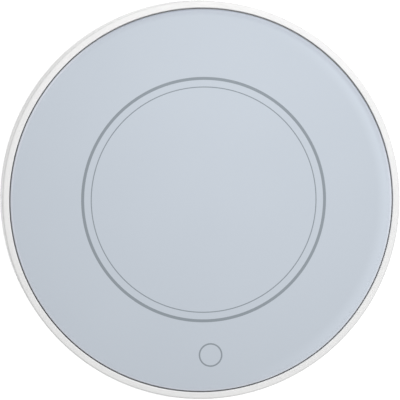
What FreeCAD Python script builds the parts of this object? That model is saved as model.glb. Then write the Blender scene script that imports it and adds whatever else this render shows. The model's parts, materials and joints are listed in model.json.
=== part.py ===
import FreeCAD, Part
import math
import os
import re

import Sketcher
from FreeCAD import Placement, Rotation, Vector

# Electric mug warmer: a round plastic body with a glass top, a heater under the glass and a touch key.
# Millimetres. +Z is up, the origin is the middle of the underside, the touch key is at the front (-Y)
# and the power inlet is at the back (+Y).

SIZES = {
    # Whole body
    "outer_dia": 130,
    "total_height": 24,
    "stand_height": 1.6,
    "wall": 2.2,
    "seam_level": 9,
    "seam_reveal": 0.3,
    "reveal_depth": 0.6,
    "tongue_height": 1.4,
    "tongue_width": 0.95,
    "seam_play": 0.1,
    "bottom_round": 7,
    "rim_width": 2.25,
    "rim_round": 0.6,
    "rim_inner_round": 0.4,
    "deck_thickness": 2,
    # Glass top and what bonds it
    "glass_thickness": 3,
    "glass_proud": 0.3,
    "glass_gap": 0.35,
    "glass_edge_round": 0.8,
    "glass_under_chamfer": 0.3,
    "adhesive_thickness": 0.5,
    "adhesive_width": 4.2,
    "adhesive_inset": 0.4,
    # Touch key
    "key_reach": 50.8,
    "shroud_dia": 12,
    "shroud_wall": 0.7,
    "shroud_play": 0.2,
    "shroud_top_gap": 0.1,
    "spring_dia": 9.4,
    "spring_wire": 0.5,
    "spring_turns": 5,
    "lamp_width": 3.5,
    "lamp_depth": 2.8,
    "lamp_base": 1.1,
    "lamp_dome_dia": 2.2,
    "lamp_dome": 0.6,
    # Heater stack
    "heater_opening_dia": 84,
    "spreader_margin": 3,
    "spreader_thickness": 1.2,
    "spreader_chamfer": 0.2,
    "film_margin": 0.5,
    "film_thickness": 0.3,
    "mica_margin": 1,
    "upper_mica_thickness": 0.2,
    "foil_thickness": 0.1,
    "lower_mica_thickness": 0.3,
    "pad_margin": 2,
    "pad_thickness": 3.2,
    "seal_side_gap": 0.2,
    "seal_deck_gap": 0.1,
    "seal_flange_thickness": 0.8,
    "seal_flange_width": 1.7,
    "track_start": 17,
    "track_pitch": 2.6,
    "track_width": 1.6,
    "track_gap": 3.2,
    "track_edge": 1.2,
    "terminal_dia": 3.6,
    "terminal_back": 13,
    # Heater bracket
    "bracket_thickness": 1,
    "bracket_margin": 3,
    "arm_count": 3,
    "arm_angle": 90,
    "arm_inset": 5,
    "arm_width": 9,
    "lightening_count": 6,
    "lightening_angle": 30,
    "lightening_dia": 8,
    "lightening_reach": 25,
    "window_dia": 4.6,
    # Temperature sensor and fuse, both in slots of the insulation pad
    "sensor_x": -6,
    "sensor_dia": 2.4,
    "sensor_length": 4.5,
    "sensor_lead_dia": 0.9,
    "sensor_lead_pitch": 1.3,
    "sensor_turn_y": 9,
    "slot_play": 0.3,
    "fuse_x": 7,
    "fuse_dia": 2.5,
    "fuse_length": 9,
    "fuse_lead_dia": 0.6,
    "fuse_lead_length": 4,
    "sleeve_dia": 3.2,
    "sleeve_bore": 2.6,
    "sleeve_length": 16,
    # Control board under the key
    "board_drop": 4.9,
    "board_thickness": 1.6,
    "board_width": 62,
    "board_rear": 33,
    "board_edge_gap": 3.8,
    "outer_screw_x": 27,
    "outer_screw_y": 41,
    "inner_screw_x": 16,
    "inner_screw_y": 55.5,
    "plug_width": 7.5,
    "plug_depth": 6,
    "plug_height": 5.5,
    "plug_pitch": 2.5,
    "sensor_plug_width": 5,
    "sensor_plug_height": 4.5,
    "plug_setback": 2,
    "power_plug_x": -17,
    "heater_plug_x": 17,
    "sensor_plug_x": 1,
    "capacitor_dia": 6.3,
    "capacitor_height": 7,
    "capacitor_x": -19,
    "capacitor_y": -49,
    "latch_depth": 0.8,
    "latch_width": 1.2,
    "chip_width": 10,
    "chip_depth": 3.9,
    "chip_height": 1.5,
    "chip_legs": 8,
    "chip_leg_pitch": 1.27,
    "chip_x": -5,
    "chip_y": -48,
    "mosfet_width": 6.5,
    "mosfet_depth": 6,
    "mosfet_height": 2.3,
    "mosfet_legs": 2,
    "mosfet_leg_pitch": 4.5,
    "mosfet_x": 13,
    "mosfet_y": -46,
    "leg_width": 0.4,
    "leg_reach": 1,
    "leg_height": 0.3,
    "chip_lift": 0.1,
    "resistor_width": 2,
    "resistor_depth": 1.25,
    "resistor_height": 0.5,
    # Power inlet
    "inlet_drop": 4.1,
    "inlet_width": 8.94,
    "inlet_height": 3.26,
    "inlet_length": 7.35,
    "inlet_sheet": 0.3,
    "inlet_setback": 0.1,
    "inlet_play": 0.18,
    "pocket_width": 14,
    "pocket_height": 7.2,
    "pocket_depth": 1,
    "pocket_round": 2.4,
    "tongue_plate_width": 6.69,
    "tongue_plate_height": 0.7,
    "tongue_plate_length": 4.45,
    "tongue_block": 1.6,
    "tongue_play": 0.02,
    "contact_width": 0.4,
    "contact_height": 0.1,
    "contact_length": 3.6,
    "contact_pitch": 1.6,
    "inlet_board_width": 26,
    "inlet_board_depth": 10.5,
    "inlet_board_thickness": 1,
    "inlet_screw_x": 9.5,
    "inlet_screw_back": 4,
    "stop_thickness": 1.5,
    "stop_width": 10,
    "stop_gap": 0.25,
    # Screws and the bosses that take them
    "tower_count": 4,
    "tower_angle": 45,
    "tower_inset": 15,
    "tower_level": 8,
    "tower_dia": 8.4,
    "upper_tower_dia": 7,
    "counterbore_dia": 6.2,
    "counterbore_depth": 3,
    "case_screw_head": 5.2,
    "case_screw_head_height": 1.8,
    "case_screw_dia": 2.3,
    "case_screw_length": 9,
    "case_screw_pilot": 2.4,
    "pilot_play": 0.5,
    "small_boss_dia": 6,
    "inlet_boss_dia": 5.6,
    "small_screw_head": 4.4,
    "small_screw_head_height": 1.5,
    "small_screw_dia": 1.9,
    "small_screw_length": 5,
    "small_screw_pilot": 2,
    "small_pilot_depth": 4.4,
    "screw_hole_play": 0.3,
    "recess_blade": 0.7,
    "recess_share": 0.6,
    # Feet, vents, blank label recess
    "foot_count": 4,
    "foot_angle": 0,
    "foot_dia": 12,
    "foot_recess": 1,
    "foot_play": 0.15,
    "foot_inset": 17,
    "foot_round": 0.5,
    "vent_count": 7,
    "vent_pitch": 3.4,
    "vent_length": 22,
    "vent_width": 1.6,
    "vent_first_y": -10,
    "label_width": 44,
    "label_depth": 26,
    "label_y": 14,
    "label_recess": 0.3,
    "label_round": 2,
    # Wires: the heater's and the sensor's under the bracket, the inlet's on the floor
    "wire_dia": 1.6,
    "wire_lift": 0.1,
    "sensor_lead_drop": 4,
    "fused_lead_drop": 5,
    "return_lead_drop": 4.5,
    "lead_sweep_y": -10,
    "sensor_lead_rise": 1,
    "fused_lead_shift": 2.5,
    "fused_lead_dip": 0.8,
    "return_lead_step": 9,
    "plug_approach": 6,
    "long_approach": 8,
    "inlet_wire_x": -4,
    "inlet_wire_setback": 2,
    "inlet_wire_bend_x": -8,
    "inlet_wire_bend": 15.75,
    "guide_run_in": 5,
    "guide_run_out": 8,
    "guide_play": 0.3,
    "guide_wall": 1.2,
    "guide_height": 3.2,
    "guide_length": 6,
    "guide_rear_y": 18,
    "guide_front_y": -8,
}

# A wire's arc takes this share of the shorter of its two runs
ARC_SHARE = 0.45
# Two lengths or volumes that differ by less than this are the same
CLOSE = 1e-4

# Radii and levels worked out from the sizes, as expressions
outer_r = "(outer_dia / 2)"
inner_r = "(outer_dia / 2 - wall)"
recess_r = "(outer_dia / 2 - rim_width)"
glass_r = f"({recess_r} - glass_gap)"
opening_r = "(heater_opening_dia / 2)"
spreader_r = f"({opening_r} - spreader_margin)"
mica_r = f"({spreader_r} - mica_margin)"
rim_level = "(total_height - glass_proud)"
glass_level = "(total_height - glass_thickness)"
deck_level = f"({glass_level} - adhesive_thickness)"
deck_under = f"({deck_level} - deck_thickness)"
floor_level = "(stand_height + wall)"
spreader_level = f"({glass_level} - film_thickness - spreader_thickness)"
upper_mica_level = f"({spreader_level} - upper_mica_thickness)"
foil_level = f"({upper_mica_level} - foil_thickness)"
lower_mica_level = f"({foil_level} - lower_mica_thickness)"
pad_level = f"({lower_mica_level} - pad_thickness)"
bracket_level = f"({pad_level} - bracket_thickness)"
board_level = f"({deck_under} - board_drop)"
board_under = f"({board_level} - board_thickness)"
inlet_level = f"({deck_under} - inlet_drop)"
inlet_board_level = f"({inlet_level} - inlet_height / 2)"
inlet_board_under = f"({inlet_board_level} - inlet_board_thickness)"
pocket_y = f"({outer_r} - pocket_depth)"
inlet_front = f"({pocket_y} - inlet_setback)"
inlet_back = f"({inlet_front} - inlet_length)"
inlet_board_front = f"(sqrt({inner_r}^2 - (inlet_board_width / 2)^2) - inlet_play)"
inlet_board_rear = f"({inlet_board_front} - inlet_board_depth)"
sensor_level = f"({spreader_level} - sensor_dia / 2)"
fuse_level = f"({lower_mica_level} - sleeve_dia / 2)"
plug_face = "(board_rear + plug_setback)"
plug_wire_level = f"({board_under} - plug_height / 2)"
wire_level = f"({floor_level} + wire_dia / 2 + wire_lift)"
guide_half = "(plug_pitch / 2 + wire_dia / 2 + guide_play)"


def ring_spots(reach, prefix):
    """Places at even steps round the middle, as pairs of expressions."""
    angles = [f"({prefix}_angle + 360 / {prefix}_count * {step})" for step in range(SIZES[f"{prefix}_count"])]
    return [(f"({reach}) * cos({angle})", f"({reach}) * sin({angle})") for angle in angles]


tower_spots = ring_spots(f"{outer_r} - tower_inset", "tower")
foot_spots = ring_spots(f"{outer_r} - foot_inset", "foot")
arm_spots = ring_spots(f"{opening_r} + arm_inset", "arm")
lightening_spots = ring_spots("lightening_reach", "lightening")
board_spots = [
    ("-outer_screw_x", "-outer_screw_y"),
    ("outer_screw_x", "-outer_screw_y"),
    ("-inner_screw_x", "-inner_screw_y"),
    ("inner_screw_x", "-inner_screw_y"),
]
inlet_spots = [
    ("-inlet_screw_x", f"{inlet_board_front} - inlet_screw_back"),
    ("inlet_screw_x", f"{inlet_board_front} - inlet_screw_back"),
]
key_spot = [("0", "-key_reach")]
resistor_spots = [(-9, -42), (-5, -42), (7, -42), (5, -50), (5, -54), (-9, -54), (-5, -54), (22, -47)]
sensor_window = [("sensor_x", "sensor_turn_y")]
fuse_window = [("fuse_x", "terminal_back")]
return_window = [("0", "-terminal_back")]

doc = FreeCAD.newDocument("mug_warmer")
sheet = doc.addObject("Spreadsheet::Sheet", "sizes")
for row, (alias, number) in enumerate(SIZES.items(), 1):
    sheet.set(f"A{row}", alias)
    sheet.set(f"B{row}", str(number))
    sheet.setAlias(f"B{row}", alias)
doc.recompute()
parts = []


def value(text):
    """The number that an expression on the sheet's names gives."""
    result = sheet.evalExpression(text)
    return float(getattr(result, "Value", result))


def tie(thing, prop, text):
    """Binds a property to an expression on the sheet's names."""
    thing.setExpression(prop, re.sub(r"[a-z_]+", lambda m: in_sheet(m.group(0)), text))


def in_sheet(word):
    return f"sizes.{word}" if word in SIZES else word


def new_body(label):
    body = doc.addObject("PartDesign::Body", label)
    body.Label = label
    body.Placement = Placement()
    parts.append(body)
    return body


def sketch_on(body, role, offset="0"):
    """A sketch on one of the body's own origin planes, moved along that plane's normal."""
    sketch = body.newObject("Sketcher::SketchObject", "outline")
    plane = [item for item in body.Origin.OriginFeatures if item.Role == role][0]
    sketch.AttachmentSupport = [(plane, "")]
    sketch.MapMode = "FlatFace"
    tie(sketch, "AttachmentOffset.Base.z", offset)
    return sketch


def pin_point(sketch, geometry, point, x, y):
    """Ties a point of a sketch to the place x, y."""
    for kind, text, axis in (("DistanceX", x, -2), ("DistanceY", y, -1)):
        if abs(value(text)) < CLOSE:
            sketch.addConstraint(Sketcher.Constraint("PointOnObject", geometry, point, axis))
            continue
        index = sketch.addConstraint(Sketcher.Constraint(kind, -1, 1, geometry, point, value(text)))
        tie(sketch, f"Constraints[{index}]", text)


def circle(sketch, radius, x="0", y="0"):
    centre = Vector(value(x), value(y), 0)
    geometry = sketch.addGeometry(Part.Circle(centre, Vector(0, 0, 1), value(radius)))
    index = sketch.addConstraint(Sketcher.Constraint("Radius", geometry, value(radius)))
    tie(sketch, f"Constraints[{index}]", radius)
    pin_point(sketch, geometry, 3, x, y)


def outline(sketch, corners, arcs=None):
    """A closed outline through corners, run counterclockwise. arcs holds the centre of each curved side,
    by the side's number."""
    arcs = arcs or {}
    count = len(corners)
    spots = [Vector(value(x), value(y), 0) for x, y in corners]
    ends = []
    for side, begin in enumerate(spots):
        end = spots[(side + 1) % count]
        if side not in arcs:
            geometry = sketch.addGeometry(Part.LineSegment(begin, end))
            ends.append((geometry, 1, 2))
            continue
        centre = Vector(value(arcs[side][0]), value(arcs[side][1]), 0)
        bulges = (begin - centre).cross(end - centre).z > -CLOSE
        first, last = (begin, end) if bulges else (end, begin)
        angles = [math.atan2(spot.y - centre.y, spot.x - centre.x) for spot in (first, last)]
        whole = Part.Circle(centre, Vector(0, 0, 1), (begin - centre).Length)
        geometry = sketch.addGeometry(Part.ArcOfCircle(whole, angles[0], angles[1]))
        ends.append((geometry, 1, 2) if bulges else (geometry, 2, 1))
    for side in range(count):
        geometry, begin_point, end_point = ends[side]
        following, following_begin, unused = ends[(side + 1) % count]
        sketch.addConstraint(
            Sketcher.Constraint("Coincident", geometry, end_point, following, following_begin)
        )
        pin_point(sketch, geometry, begin_point, *corners[side])
    for side, (x, y) in arcs.items():
        level_chord = abs(spots[side].y - spots[(side + 1) % count].y) < CLOSE
        kind, text, axis = ("DistanceY", y, -1) if level_chord else ("DistanceX", x, -2)
        geometry = ends[side][0]
        if abs(value(text)) < CLOSE:
            sketch.addConstraint(Sketcher.Constraint("PointOnObject", geometry, 3, axis))
            continue
        index = sketch.addConstraint(Sketcher.Constraint(kind, -1, 1, geometry, 3, value(text)))
        tie(sketch, f"Constraints[{index}]", text)


def rectangle(sketch, left, right, low, high):
    outline(sketch, [(left, low), (right, low), (right, high), (left, high)])


def centred_rectangle(sketch, width, depth, x="0", y="0"):
    rectangle(
        sketch,
        f"{x} - ({width}) / 2",
        f"{x} + ({width}) / 2",
        f"{y} - ({depth}) / 2",
        f"{y} + ({depth}) / 2",
    )


def rounded_rectangle(sketch, left, right, low, high, radius):
    inner_left, inner_right = f"{left} + {radius}", f"{right} - ({radius})"
    inner_low, inner_high = f"{low} + {radius}", f"{high} - ({radius})"
    corners = [
        (inner_left, low),
        (inner_right, low),
        (right, inner_low),
        (right, inner_high),
        (inner_right, high),
        (inner_left, high),
        (left, inner_high),
        (left, inner_low),
    ]
    arcs = {
        1: (inner_right, inner_low),
        3: (inner_right, inner_high),
        5: (inner_left, inner_high),
        7: (inner_left, inner_low),
    }
    outline(sketch, corners, arcs)


def slot(sketch, left, right, low, high):
    """A slot along X with half-round ends. left and right are its tips."""
    radius = f"(({high}) - ({low})) / 2"
    middle = f"(({high}) + ({low})) / 2"
    inner_left, inner_right = f"{left} + {radius}", f"{right} - {radius}"
    corners = [(inner_left, low), (inner_right, low), (inner_right, high), (inner_left, high)]
    outline(sketch, corners, {1: (inner_right, middle), 3: (inner_left, middle)})


def pad(body, sketch, length):
    feature = body.newObject("PartDesign::Pad", "pad")
    feature.Profile = sketch
    tie(feature, "Length", length)
    doc.recompute()
    return feature


def pocket(body, sketch, length, along_normal=False):
    """Cuts against the sketch's normal, or along it. A cut that takes nothing away is an error."""
    doc.recompute()
    before = body.Shape.Volume
    feature = body.newObject("PartDesign::Pocket", "pocket")
    feature.Profile = sketch
    feature.Reversed = along_normal
    tie(feature, "Length", length)
    doc.recompute()
    if body.Shape.Volume > before - CLOSE:
        raise RuntimeError(f"a pocket of {body.Label} cuts nothing")
    return feature


def revolve(body, corners, arcs=None):
    """A full turn about Z of an outline whose corners are pairs of radius and level."""
    sketch = sketch_on(body, "XZ_Plane")
    outline(sketch, corners, arcs)
    feature = body.newObject("PartDesign::Revolution", "revolution")
    feature.Profile = sketch
    feature.ReferenceAxis = (sketch, ["V_Axis"])
    feature.Angle = 360
    doc.recompute()
    return feature


def discs(body, level, radius, spots, length):
    """One round boss, or a group of them, from a level upwards."""
    sketch = sketch_on(body, "XY_Plane", level)
    for x, y in spots:
        circle(sketch, radius, x, y)
    return pad(body, sketch, length)


def holes(body, level, radius, spots, length):
    """Round holes from a level upwards."""
    sketch = sketch_on(body, "XY_Plane", level)
    for x, y in spots:
        circle(sketch, radius, x, y)
    return pocket(body, sketch, length, along_normal=True)


def repeat_round(body, features, count):
    """Copies of features at even steps round the body's own Z axis."""
    pattern = body.newObject("PartDesign::PolarPattern", "pattern")
    pattern.Originals = features
    axis = [item for item in body.Origin.OriginFeatures if item.Role == "Z_Axis"][0]
    pattern.Axis = (axis, [""])
    tie(pattern, "Occurrences", count)
    body.Tip = pattern
    return pattern


def round_edges(body, kind, size, wanted):
    """A fillet or chamfer on the round edges at the given pairs of radius and level."""
    base = body.Tip
    names = []
    for number, edge in enumerate(base.Shape.Edges, 1):
        if not isinstance(edge.Curve, Part.Circle):
            continue
        for radius, level in wanted:
            near_radius = abs(edge.Curve.Radius - value(radius)) < CLOSE
            near_level = abs(edge.CenterOfMass.z - value(level)) < CLOSE
            if near_radius and near_level:
                names.append(f"Edge{number}")
    if not names:
        raise RuntimeError(f"no edge to round on {body.Label}")
    feature = body.newObject(f"PartDesign::{kind}", kind.lower())
    feature.Base = (base, names)
    tie(feature, "Radius" if kind == "Fillet" else "Size", size)
    doc.recompute()
    return feature


def screws(label, spots, seat, prefix, length):
    """Screws driven upwards: a head under the seat level, with a cross recess, and a plain shank."""
    body = new_body(label)
    head_under = f"{seat} - {prefix}_head_height"
    discs(body, head_under, f"{prefix}_head / 2", spots, f"{prefix}_head_height")
    round_edges(body, "Fillet", f"{prefix}_head_height / 3", [(f"{prefix}_head / 2", head_under)])
    discs(body, seat, f"{prefix}_dia / 2", spots, length)
    round_edges(body, "Chamfer", f"{prefix}_dia / 4", [(f"{prefix}_dia / 2", f"{seat} + {length}")])
    cross = f"{prefix}_head * recess_share"
    for width, depth in (("recess_blade", cross), (cross, "recess_blade")):
        sketch = sketch_on(body, "XY_Plane", head_under)
        for x, y in spots:
            centred_rectangle(sketch, width, depth, x, y)
        pocket(body, sketch, f"{prefix}_head_height * recess_share", along_normal=True)


def slab(label, level, thickness, width, depth, x="0", y="0"):
    """A plain rectangular piece."""
    body = new_body(label)
    sketch = sketch_on(body, "XY_Plane", level)
    centred_rectangle(sketch, width, depth, x, y)
    pad(body, sketch, thickness)
    return body


def solid_feature(label, shape):
    """A sub-part whose shape is set here, for paths and windings."""
    feature = doc.addObject("Part::Feature", label)
    feature.Label = label
    feature.Shape = shape
    feature.Placement = Placement()
    return feature


def tube(name, points, diameter):
    """A round wire along straight runs joined by tangent arcs, each as large as its two runs allow."""
    points = [Vector(*(value(text) for text in point)) for point in points]
    edges = []
    begin = points[0]
    radii = []
    for before, corner, after in zip(points, points[1:], points[2:]):
        arriving = corner - before
        leaving = after - corner
        half_turn = arriving.getAngle(leaving) / 2
        setback = ARC_SHARE * min(arriving.Length, leaving.Length)
        radius = setback / math.tan(half_turn)
        arriving.normalize()
        leaving.normalize()
        arc_begin = corner - arriving * setback
        arc_end = corner + leaving * setback
        inward = (leaving - arriving).normalize()
        arc_middle = corner + inward * (radius / math.cos(half_turn) - radius)
        edges.append(Part.LineSegment(begin, arc_begin).toShape())
        edges.append(Part.Arc(arc_begin, arc_middle, arc_end).toShape())
        begin = arc_end
        radii.append(round(radius, 1))
    edges.append(Part.LineSegment(begin, points[-1]).toShape())
    path = Part.Wire(edges)
    wire_r = value(diameter) / 2
    section = Part.Wire(Part.Circle(points[0], points[1] - points[0], wire_r).toShape())
    solid = path.makePipeShell([section], True, False)
    share = solid.Volume / (math.pi * wire_r**2 * path.Length)
    print(f"{name}: radii {radii}, length {path.Length:.1f}, volume against section times length {share:.4f}")
    return solid


def make_upper_housing():
    body = new_body("upper_housing")
    rebate_r = f"({inner_r} + tongue_width + seam_play)"
    rebate_level = "(seam_level + tongue_height + seam_play)"
    reveal_level = "(seam_level + seam_reveal)"
    reveal_r = f"({outer_r} - reveal_depth)"
    revolve(
        body,
        [
            (opening_r, deck_under),
            (inner_r, deck_under),
            (inner_r, rebate_level),
            (rebate_r, rebate_level),
            (rebate_r, "seam_level"),
            (reveal_r, "seam_level"),
            (reveal_r, reveal_level),
            (outer_r, reveal_level),
            (outer_r, rim_level),
            (recess_r, rim_level),
            (recess_r, deck_level),
            (opening_r, deck_level),
        ],
    )
    round_edges(body, "Fillet", "rim_round", [(outer_r, rim_level)])
    round_edges(body, "Fillet", "rim_inner_round", [(recess_r, rim_level)])

    tower = discs(body, "tower_level", "upper_tower_dia / 2", tower_spots[:1], f"{deck_under} - tower_level")
    pilot_depth = "case_screw_length - (tower_level - stand_height - counterbore_depth) + pilot_play"
    pilot = holes(body, "tower_level", "case_screw_pilot / 2", tower_spots[:1], pilot_depth)
    repeat_round(body, [tower, pilot], "tower_count")

    for level, spots, dia in (
        (pad_level, arm_spots, "small_boss_dia"),
        (board_level, board_spots, "small_boss_dia"),
        (inlet_board_level, inlet_spots, "inlet_boss_dia"),
    ):
        discs(body, level, f"{dia} / 2", spots, f"{deck_under} - {level}")
        holes(body, level, "small_screw_pilot / 2", spots, "small_pilot_depth")

    holes(body, deck_under, "shroud_dia / 2 + shroud_play", key_spot, "deck_thickness")

    stop = sketch_on(body, "XY_Plane", f"{inlet_board_level} + stop_gap")
    stop_front = f"{inlet_back} - stop_gap"
    rectangle(stop, "-stop_width / 2", "stop_width / 2", f"{stop_front} - stop_thickness", stop_front)
    pad(body, stop, f"{deck_under} - {inlet_board_level} - stop_gap")

    recess = sketch_on(body, "XZ_Plane", f"-{pocket_y}")
    half_height = "pocket_height / 2"
    rounded_rectangle(
        recess,
        "-pocket_width / 2",
        "pocket_width / 2",
        f"{inlet_level} - {half_height}",
        f"{inlet_level} + {half_height}",
        "pocket_round",
    )
    pocket(body, recess, "pocket_depth * 2")
    opening = sketch_on(body, "XZ_Plane", f"-{pocket_y}")
    opening_half = "(inlet_height / 2 + inlet_play)"
    slot(
        opening,
        "-inlet_width / 2 - inlet_play",
        "inlet_width / 2 + inlet_play",
        f"{inlet_level} - {opening_half}",
        f"{inlet_level} + {opening_half}",
    )
    pocket(body, opening, "wall + pocket_depth", along_normal=True)


def make_lower_housing():
    body = new_body("lower_housing")
    flat_r = f"({outer_r} - bottom_round)"
    round_level = "(stand_height + bottom_round)"
    tongue_r = f"({inner_r} + tongue_width)"
    tongue_level = "(seam_level + tongue_height)"
    revolve(
        body,
        [
            ("0", "stand_height"),
            (flat_r, "stand_height"),
            (outer_r, round_level),
            (outer_r, "seam_level"),
            (tongue_r, "seam_level"),
            (tongue_r, tongue_level),
            (inner_r, tongue_level),
            (inner_r, round_level),
            (flat_r, floor_level),
            ("0", floor_level),
        ],
        {1: (flat_r, round_level), 7: (flat_r, round_level)},
    )

    tower = discs(body, floor_level, "tower_dia / 2", tower_spots[:1], f"tower_level - {floor_level}")
    hole_r = "case_screw_dia / 2 + screw_hole_play"
    through = holes(body, "stand_height", hole_r, tower_spots[:1], "tower_level - stand_height")
    counterbore = holes(body, "stand_height", "counterbore_dia / 2", tower_spots[:1], "counterbore_depth")
    repeat_round(body, [tower, through, counterbore], "tower_count")
    foot_seat = holes(body, "stand_height", "foot_dia / 2 + foot_play", foot_spots[:1], "foot_recess")
    repeat_round(body, [foot_seat], "foot_count")

    for step in range(SIZES["vent_count"]):
        middle = f"(vent_first_y - vent_pitch * {step})"
        vent = sketch_on(body, "XY_Plane", "stand_height")
        half = "vent_width / 2"
        slot(vent, "-vent_length / 2", "vent_length / 2", f"{middle} - {half}", f"{middle} + {half}")
        pocket(body, vent, "wall", along_normal=True)

    label = sketch_on(body, "XY_Plane", "stand_height")
    rounded_rectangle(
        label,
        "-label_width / 2",
        "label_width / 2",
        "label_y - label_depth / 2",
        "label_y + label_depth / 2",
        "label_round",
    )
    pocket(body, label, "label_recess", along_normal=True)

    for along in ("guide_rear_y", "guide_front_y"):
        guides = sketch_on(body, "XY_Plane", floor_level)
        for side in ("-", "+"):
            rib_x = f"power_plug_x {side} ({guide_half} + guide_wall / 2)"
            centred_rectangle(guides, "guide_wall", "guide_length", rib_x, along)
        pad(body, guides, "guide_height")


def make_feet():
    body = new_body("feet")
    discs(body, "0", "foot_dia / 2", foot_spots, "stand_height + foot_recess")
    round_edges(body, "Fillet", "foot_round", [("foot_dia / 2", "0")])


def make_glass_plate():
    body = new_body("glass_plate")
    discs(body, glass_level, glass_r, [("0", "0")], "glass_thickness")
    round_edges(body, "Fillet", "glass_edge_round", [(glass_r, "total_height")])
    round_edges(body, "Chamfer", "glass_under_chamfer", [(glass_r, glass_level)])


def make_flat_ring(label, level, thickness, outside, inside):
    body = new_body(label)
    sketch = sketch_on(body, "XY_Plane", level)
    circle(sketch, outside)
    circle(sketch, inside)
    pad(body, sketch, thickness)


def make_heater_seal():
    body = new_body("heater_seal")
    inside = f"{spreader_r} + seal_side_gap"
    outside = f"{opening_r} - seal_deck_gap"
    flange_r = f"{outside} + seal_flange_width"
    flange_under = f"{deck_under} - seal_flange_thickness"
    revolve(
        body,
        [
            (inside, flange_under),
            (flange_r, flange_under),
            (flange_r, deck_under),
            (outside, deck_under),
            (outside, glass_level),
            (inside, glass_level),
        ],
    )


def make_heat_spreader():
    body = new_body("heat_spreader")
    discs(body, spreader_level, spreader_r, [("0", "0")], "spreader_thickness")
    rim = (spreader_r, f"{spreader_level} + spreader_thickness")
    round_edges(body, "Chamfer", "spreader_chamfer", [rim, (spreader_r, spreader_level)])


def cut_sensor_slot(body, level, depth):
    """The slot for the temperature sensor and its leads, through one layer of the heater stack."""
    sketch = sketch_on(body, "XY_Plane", level)
    half = "(sensor_dia / 2 + slot_play)"
    rectangle(
        sketch,
        f"sensor_x - {half}",
        f"sensor_x + {half}",
        "-sensor_length / 2 - slot_play",
        "sensor_turn_y + window_dia / 2",
    )
    pocket(body, sketch, depth, along_normal=True)


def make_mica_sheets():
    upper = new_body("upper_mica_sheet")
    discs(upper, upper_mica_level, mica_r, [("0", "0")], "upper_mica_thickness")
    cut_sensor_slot(upper, upper_mica_level, "upper_mica_thickness")
    lower = new_body("lower_mica_sheet")
    discs(lower, lower_mica_level, mica_r, [("0", "0")], "lower_mica_thickness")
    cut_sensor_slot(lower, lower_mica_level, "lower_mica_thickness")
    terminals = [("fuse_x", "-terminal_back"), ("0", "-terminal_back")]
    holes(lower, lower_mica_level, "terminal_dia / 2 - slot_play", terminals, "lower_mica_thickness")


def make_heating_foil():
    """One flat track: C-shaped arcs that go to and fro round the middle, from the fuse's terminal
    outwards, then straight back in through the gap to the other terminal."""
    start_r, pitch, gap = value("track_start"), value("track_pitch"), value("track_gap")
    outermost = value(f"{mica_r} - track_edge - track_width / 2")
    count = int((outermost - start_r) / pitch) + 1
    level = value(foil_level)
    fuse_terminal = Vector(value("fuse_x"), -value("terminal_back"), level)
    return_terminal = Vector(0, -value("terminal_back"), level)

    def at_gap(radius, side):
        return Vector(side * gap, -math.sqrt(radius**2 - gap**2), level)

    side = 1
    edges = []
    here = fuse_terminal
    for step in range(count):
        radius = start_r + pitch * step
        begin = at_gap(radius, side)
        end = at_gap(radius, -side) if step < count - 1 else Vector(0, -radius, level)
        edges.append(Part.LineSegment(here, begin).toShape())
        edges.append(Part.Arc(begin, Vector(0, radius, level), end).toShape())
        here = end
        side = -side
    edges.append(Part.LineSegment(here, return_terminal).toShape())
    half_width = value("track_width / 2")
    upward = Vector(0, 0, value("foil_thickness"))
    pieces = []
    for edge in edges:
        begin = edge.valueAt(edge.FirstParameter)
        heading = edge.tangentAt(edge.FirstParameter)
        across = Vector(-heading.y, heading.x, 0) * half_width
        left, right = begin + across, begin - across
        section = Part.makePolygon([left, right, right + upward, left + upward, left])
        pieces.append(Part.Wire(edge).makePipeShell([section], True, False))
        pieces.append(Part.makeCylinder(half_width, upward.z, edge.valueAt(edge.LastParameter)))
    for terminal in (fuse_terminal, return_terminal):
        pieces.append(Part.makeCylinder(value("terminal_dia / 2"), upward.z, terminal))
    solid = pieces[0].multiFuse(pieces[1:])
    parts.append(solid_feature("heating_foil", solid.removeSplitter()))


def make_insulation_pad():
    body = new_body("insulation_pad")
    discs(body, pad_level, f"{spreader_r} - pad_margin", [("0", "0")], "pad_thickness")
    cut_sensor_slot(body, pad_level, "pad_thickness")
    fuse_slot = sketch_on(body, "XY_Plane", pad_level)
    half = "(sleeve_dia / 2 + slot_play / 2)"
    reach = "terminal_back + window_dia / 2"
    rectangle(fuse_slot, f"fuse_x - {half}", f"fuse_x + {half}", f"-({reach})", reach)
    pocket(body, fuse_slot, "pad_thickness", along_normal=True)
    holes(body, pad_level, "terminal_dia / 2", return_window, "pad_thickness")


def make_heater_bracket():
    body = new_body("heater_bracket")
    discs(body, bracket_level, f"{mica_r} - bracket_margin", [("0", "0")], "bracket_thickness")
    arm_end = f"{opening_r} + arm_inset"
    arm = sketch_on(body, "XY_Plane", bracket_level)
    half = "arm_width / 2"
    corners = [(half, "0"), (half, arm_end), (f"-{half}", arm_end), (f"-{half}", "0")]
    outline(arm, corners, {1: ("0", arm_end)})
    arm_pad = pad(body, arm, "bracket_thickness")
    screw_hole = holes(
        body, bracket_level, "small_screw_dia / 2 + screw_hole_play", arm_spots[:1], "bracket_thickness"
    )
    repeat_round(body, [arm_pad, screw_hole], "arm_count")
    opened = sensor_window + fuse_window + return_window
    holes(body, bracket_level, "window_dia / 2", opened, "bracket_thickness")
    lightening_r = "lightening_dia / 2"
    lightening = holes(body, bracket_level, lightening_r, lightening_spots[:1], "bracket_thickness")
    repeat_round(body, [lightening], "lightening_count")


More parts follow.
